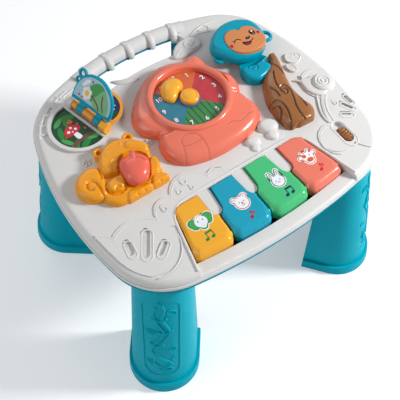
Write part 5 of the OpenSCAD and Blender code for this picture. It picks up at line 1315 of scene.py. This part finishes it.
# %% four animals
sticker("key_1", -72.5, -102.5,
        [(0, 0, 8.2), (-9.4, 2.6, 5.6), (9.4, 2.6, 5.6), (-8.0, -1.5, 5.0), (8.0, -1.5, 5.0),
         (0, -6.0, 4.4)],
        "green", "leaf",
        [("dot", "pale", (0, 0.4, 7.4)), ("dot", "pale", (0, -5.0, 3.4)),
         ("dot", "wood", (-3.0, 1.8, 0.8)), ("dot", "wood", (3.0, 1.8, 0.8)),
         ("line", "grey", [(-1.8, -2.6), (0, -2.0), (1.8, -2.6)], 0.5),
         ("line", "grey", [(-1.8, -4.6), (0, -4.1), (1.8, -4.6)], 0.5),
         ("line", "grey", [(-1.5, -6.6), (0, -6.1), (1.5, -6.6)], 0.5)])
sticker("key_2", -21.5, -108.0,
        [(0, 0, 8.6), (-6.2, 6.4, 3.8), (6.2, 6.4, 3.8)],
        "red", "pale",
        [("dot", "cheek", (-2.8, 0.9, 0.7)), ("dot", "cheek", (2.8, 0.9, 0.7)),
         ("dot", "red", (0, -0.8, 1.1)), ("line", "red", [(0, -1.2), (0, -2.6)], 0.5),
         ("line", "red", [(-2.0, -3.0), (0, -3.8), (2.0, -3.0)], 0.55),
         ("dot", "grey", (-6.2, 6.6, 1.7)), ("dot", "grey", (6.2, 6.6, 1.7))])
sticker("key_3", 29.0, -107.5,
        [(0, -1.0, 8.0), (-4.2, 7.0, 3.0), (4.2, 7.0, 3.0), (-4.7, 9.4, 2.9), (4.7, 9.4, 2.9),
         (-5.1, 11.6, 2.5), (5.1, 11.6, 2.5)],
        "night", "pale",
        [("line", "mint", [(-4.2, 6.6), (-4.8, 10.6)], 1.5),
         ("line", "mint", [(4.2, 6.6), (4.8, 10.6)], 1.5),
         ("dot", "night", (-2.7, -0.2, 0.7)), ("dot", "night", (2.7, -0.2, 0.7)),
         ("line", "night", [(-1.6, -3.2), (0, -2.4), (1.6, -3.2)], 0.6),
         ("dot", "grey", (-4.8, -2.8, 1.0)), ("dot", "grey", (4.8, -2.8, 1.0))])
sticker("key_4", 76.5, -102.5,
        [(0, 0, 7.6), (-7.6, 3.0, 3.0), (7.6, 3.0, 3.0), (-9.2, 2.6, 2.4), (9.2, 2.6, 2.4),
         (-4.4, 7.4, 2.2), (4.4, 7.4, 2.2), (0, -4.4, 5.8)],
        "red", "pale",
        [("dot", "orange", (-3.8, 3.0, 2.6)), ("dot", "orange", (0, -4.2, 4.2), 0.72),
         ("dot", "cheek", (-1.6, -4.2, 0.6)), ("dot", "cheek", (1.6, -4.2, 0.6)),
         ("dot", "cheek", (-3.2, 1.6, 0.75)), ("dot", "cheek", (3.2, 1.6, 0.75))])
for key, x, y, ink, double in (("key_1", -75, -121, "green", True), ("key_2", -22, -126, "cheek", False),
                               ("key_3", 30, -126, "night", True), ("key_4", 80, -121, "red", False)):
    note(key, x, y, ink, double)
print("stickers")

# %% [markdown]
# ## The flip book
# The book shows three small pictures: a leafy panel let into the deck, and, on two pages that turn
# on one rod, a night sky and a spring hill. Each is printed in flat shapes. A page's own plane is
# given by two directions, so the same painting calls work flat on the deck and on a tilted page.
# The raised page also gets a round border and a loop to lift it by, as beads in its plane.

# %% planes of the three pictures
BOOK = np.array([-96.0, 88.0, 242.0])                        # middle of the rod
BOOK_TURN = math.radians(13.5)
ROD = np.array([-math.sin(BOOK_TURN), math.cos(BOOK_TURN), 0])   # along the rod, to the back
OUT = np.array([math.cos(BOOK_TURN), math.sin(BOOK_TURN), 0])    # across it, to the right
RAISED, LOWERED = 60, -4                                     # degrees above the deck

def page_lay(angle):
    """The plane of a page that stands at angle above the deck: across, along the rod, height."""
    a = math.radians(angle)
    across = OUT * math.cos(a) + np.array([0, 0, 1.0]) * math.sin(a)
    return in_plane(BOOK, across, ROD)

raised, lowered = page_lay(RAISED), page_lay(LOWERED)
panel = in_plane((BOOK[0], BOOK[1], DECK + 1.0), OUT, ROD)
print("rod at", BOOK)

# %% raised page
PAGE = rounded([(12.0, 29.6), (17.0, 30.2), (27.4, 28.4), (35.6, 24.6), (42.0, 19.4), (46.8, 12.0),
                (48.9, 3.0), (48.6, -6.0), (45.0, -15.0), (39.0, -22.4), (31.0, -27.6), (21.9, -30.0),
                (12.4, -29.6), (10.4, -27.0), (10.2, -14.0), (10.2, 0.0), (10.2, 14.0), (10.4, 27.0)],
               180)
CARD_HALF, BORDER_R, TAB_R = 2.4, 2.45, 1.9
card = plate("page_card", inset(PAGE, 2.4), -CARD_HALF, CARD_HALF, INK["sky"], "teal_page", lay=raised)
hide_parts("page_teal_card")
bead("page_border", raised(at(closed(inset(PAGE, 2.2)), 0)), BORDER_R, TEAL, "teal_page")
bead("page_tab", raised(at(closed(circle(41.5, 24.4, 4.6, 40)), 0)), TAB_R, TEAL, "teal_page")
print("raised page", np.ptp(PAGE, axis=0).round(1), "mm")

# %% spring hill on the raised page
def on_card(p):
    """Lays a drawing on the raised page, stretched a little away from the rod."""
    p = np.array(p, float)
    p[..., 0] = 11.0 + 1.2 * (p[..., 0] - 11.6)
    return raised(p)

def hill(name, outline, step, ink):
    """A printed patch of the spring picture, step mm above the card."""
    paint("page_" + name, outline, CARD_HALF + step, ink, "teal_page", on_card)

def twig(name, points):
    """A brown printed line of the spring picture."""
    stroke("page_" + name, points, 1.7, CARD_HALF + 0.1, "wood", "teal_page", on_card)

BLOOM, PETAL_RING = (22.6, 9.5), 4.4
hill("hill_far", rounded([(17, 2), (24, 8.5), (31, 8), (37.2, 1), (38.6, -6), (36.0, -12.5), (30, -10),
                          (22, -4)], 72), 0, "leaf")
hill("hill_near", rounded([(12.2, -21), (13, -6), (19, 0), (27, -5), (35.5, -12), (31, -18), (22, -23.5),
                           (14, -24)], 72), 0.05, "mint")
twig("stem", [(13.5, -12), (18, -8), (22, 0), (22.5, 6)])
twig("twig", [(15.0, -18), (22, -14), (29, -12.5)])
for i in range(6):
    a = math.radians(60 * i)
    petal = circle(BLOOM[0] + PETAL_RING * math.cos(a), BLOOM[1] + PETAL_RING * math.sin(a), 2.9, 24)
    hill(f"petal_{i}", petal, 0.1 + 0.01 * i, "white" if i % 2 else "pale")
hill("flower_eye", circle(*BLOOM, 3.1, 28), 0.2, "yellow")
for i, cloud in enumerate(((33.0, 13.5, 2.6), (30.4, 15.6, 2.2), (35.0, 11.0, 2.0), (28.5, 17.5, 1.7))):
    hill(f"cloud_{i}", circle(*cloud, 24), 0.1 + 0.01 * i, "white")
for i, (x, y, ink) in enumerate(((15.5, 15.5, "orange"), (16.5, 20.0, "red"), (36.2, 6.0, "red"))):
    hill(f"berry_{i}", circle(x, y, 1.3, 18), 0.1, ink)
print("spring hill")

# %% night sky on the lower page
NIGHT_TOP = 0.4                      # mm over the page's own plane

def night(name, outline, step, ink):
    """A printed patch of the night picture, step mm above the card."""
    paint("night_" + name, outline, NIGHT_TOP + step, ink, "orange_page", lowered)

STARS = [(34.5, -6.0, 0.9), (31.0, -12.0, 0.7), (26.0, -15.5, 0.9), (33.0, 11.5, 0.8),
         (22.0, -10.0, 0.7), (27.5, 14.5, 0.8), (36.8, 0.6, 0.6), (18.0, 18.0, 0.8)]
night("moon", circle(30.5, 3.0, 5.0, 40), 0, "yellow")
night("moon_bite", circle(28.2, 4.2, 4.2, 40), 0.06, "night")
for i, star in enumerate(STARS):
    night(f"star_{i}", circle(*star, 12), 0, "white")
night("hill", rounded([(12.5, -22), (14, -17), (22, -19), (28, -21), (24, -23), (16, -25.5)], 40), 0,
      "forest")
print(len(STARS), "stars")

# %% mushroom on the leafy panel
def wood_floor(name, outline, level, ink):
    """A printed patch of the panel's picture on its own level."""
    paint("panel_" + name, outline, level, ink, "table", panel)

# each leaf: x, y, length, turn, ink
PANEL_LEAVES = [(-38, 8, 9, 60, "green"), (-26, -22, 10, 20, "green"), (-41, -6, 8, 110, "leaf"),
                (-16, 20, 10, -30, "green"), (-30, 22, 8, 20, "leaf"), (-14, -22, 8, -20, "leaf"),
                (-24, 16, 6, 70, "green"), (-36, -18, 6, 45, "green")]
for i, (x, y, long, angle, ink) in enumerate(PANEL_LEAVES):
    wood_floor(f"leaf_{i}", circle(x, y, long, 32, 0.38, angle), 0.02 + 0.02 * i / 3, ink)
wood_floor("log", rounded([(-42, -14), (-30, -11), (-18, -13), (-11, -16), (-11, -20), (-20, -18.5),
                           (-30, -16.5), (-41, -19)], 48), 0.12, "wood")
wood_floor("mushroom_stem", rounded([(-29, -12), (-28.2, -2), (-23.8, -2), (-23, -12)], 36), 0.16, "pale")
wood_floor("mushroom_cap", rounded([(-36, -1.5), (-34.5, 6), (-26, 10.5), (-17.5, 6), (-16, -1.5),
                                    (-26, -3.2)], 64), 0.2, "red")
for i, dot in enumerate(((-30.5, 3.0, 1.9), (-24.5, 6.2, 1.5), (-21.5, 1.2, 1.7), (-26.6, 0.2, 1.0))):
    wood_floor(f"spot_{i}", circle(*dot, 20), 0.24, "white")
wood_floor("sun", circle(-19, 13.5, 3.4, 32), 0.14, "orange")
for i, (x, y) in enumerate(((-37, 0), (-13, -6), (-15, 5))):
    wood_floor(f"berry_{i}", circle(x, y, 1.5, 18), 0.2, "orange")
print(len(PANEL_LEAVES), "leaves on the panel")

# %% [markdown]
# ## Vines on the legs
# Each leg's outer face has a sunk panel with two stalks of bamboo and a few leaves in relief. The
# leg leans and tapers, so a flat drawing has to be wrapped on it: a drawn point (across, height)
# is pushed out to the cone's surface at that height and then turned to the leg's own direction.

# %% wrap on a leg
# the middle of each leg's top at the right, and the direction it faces, in degrees
LEG_TOPS = {"front": ((128.9, -108.9), -52.0), "back": ((121.4, 100.7), 38.0)}
LEG_HIGH = 212.3
LEG_R, LEG_WIDENS, LEG_LEANS = 33, 8, 21                     # at the top; both others down to the foot
PANEL_SUNK = 0.8

def on_leg(end, left):
    """A function from (across, height, proud) to the leg's surface, on the leg at the front or
    back end and on the left or right: outward = lean + root of radius squared less across squared."""
    top, direction = LEG_TOPS[end]
    a = math.radians(direction)
    out, along_leg = np.array([math.cos(a), math.sin(a)]), np.array([-math.sin(a), math.cos(a)])
    def lay(p):
        """Lays points (across, height, proud) on this leg."""
        p = np.asarray(p, float)
        across, high, proud = p[..., 0], p[..., 1], p[..., 2]
        down = LEG_HIGH - high
        r = LEG_R + LEG_WIDENS * down / LEG_HIGH - PANEL_SUNK
        outward = LEG_LEANS * down / LEG_HIGH + np.sqrt(np.maximum(r**2 - across**2, 1)) + proud
        xy = np.array(top) + outward[..., None] * out + across[..., None] * along_leg
        return lifted(xy * [-1, 1] if left else xy, high)
    return lay

def leg_bead(name, points, r, lay, n=40):
    """A bead on a leg: the drawn line is wrapped first, then given its round section."""
    return bead(name, lay(at(smooth_line(points, n), 0)), r, LEG_TEAL, sides=10)

# each line: its points (across, height) and its radius
VINE = {
    "stalk_a": ([(-2, 184), (-4, 172), (-1, 158), (-6, 144), (-10, 130), (-6, 118), (0, 104), (6, 90),
                 (4, 78)], 1.755),
    "stalk_b": ([(5, 178), (8, 166), (6, 154), (1, 142), (-3, 130), (1, 117), (8, 104), (12, 90)], 1.755),
    "ring_a": ([(-6, 157), (1, 153.5), (9, 156)], 2.16),
    "ring_b": ([(-12, 131), (-5, 127), (2, 130)], 2.16),
    "ring_c": ([(-2, 103), (5, 100), (12, 104)], 2.16),
    "knot": ([(-2, 190), (1, 187), (4, 190), (1, 192), (-2, 190)], 1.08),
    "root_a": ([(4, 78), (-3, 70), (-9, 66), (-12, 58)], 1.62),
    "root_b": ([(12, 88), (6, 76), (9, 64), (2, 54)], 1.62),
    "root_c": ([(-12, 58), (-4, 52), (2, 47)], 1.35),
    "tendril": ([(-14, 76), (-12, 70), (-15, 64)], 1.08)}
# each leaf: across, height, length, turn
LEG_LEAVES = [(-12, 168, 5.5, 40), (11, 128, 5.8, 10), (13, 62, 5.0, 25), (-13, 92, 4.4, -30),
              (-8, 48, 4.6, 15)]
for end in LEG_TOPS:
    for side in ("left", "right"):
        wrap = on_leg(end, side == "left")
        for key, (points, r) in VINE.items():
            leg_bead(f"{end}_{side}_{key}", points, r, wrap)
        for i, (across, high, long, angle) in enumerate(LEG_LEAVES):
            edge = circle(across, high, long, 28, 0.66, angle)
            vein = circle(across, high, long * 0.55, 28, 0.1, angle)[:14]
            leg_bead(f"{end}_{side}_leaf_{i}", closed(edge), 1.1, wrap, 60)
            leg_bead(f"{end}_{side}_vein_{i}", vein, 0.5, wrap, 14)
print("vines on the legs")

# %% [markdown]
# ## Last step
# The view layer is brought up to date.

# %% finish
bpy.context.view_layer.update()
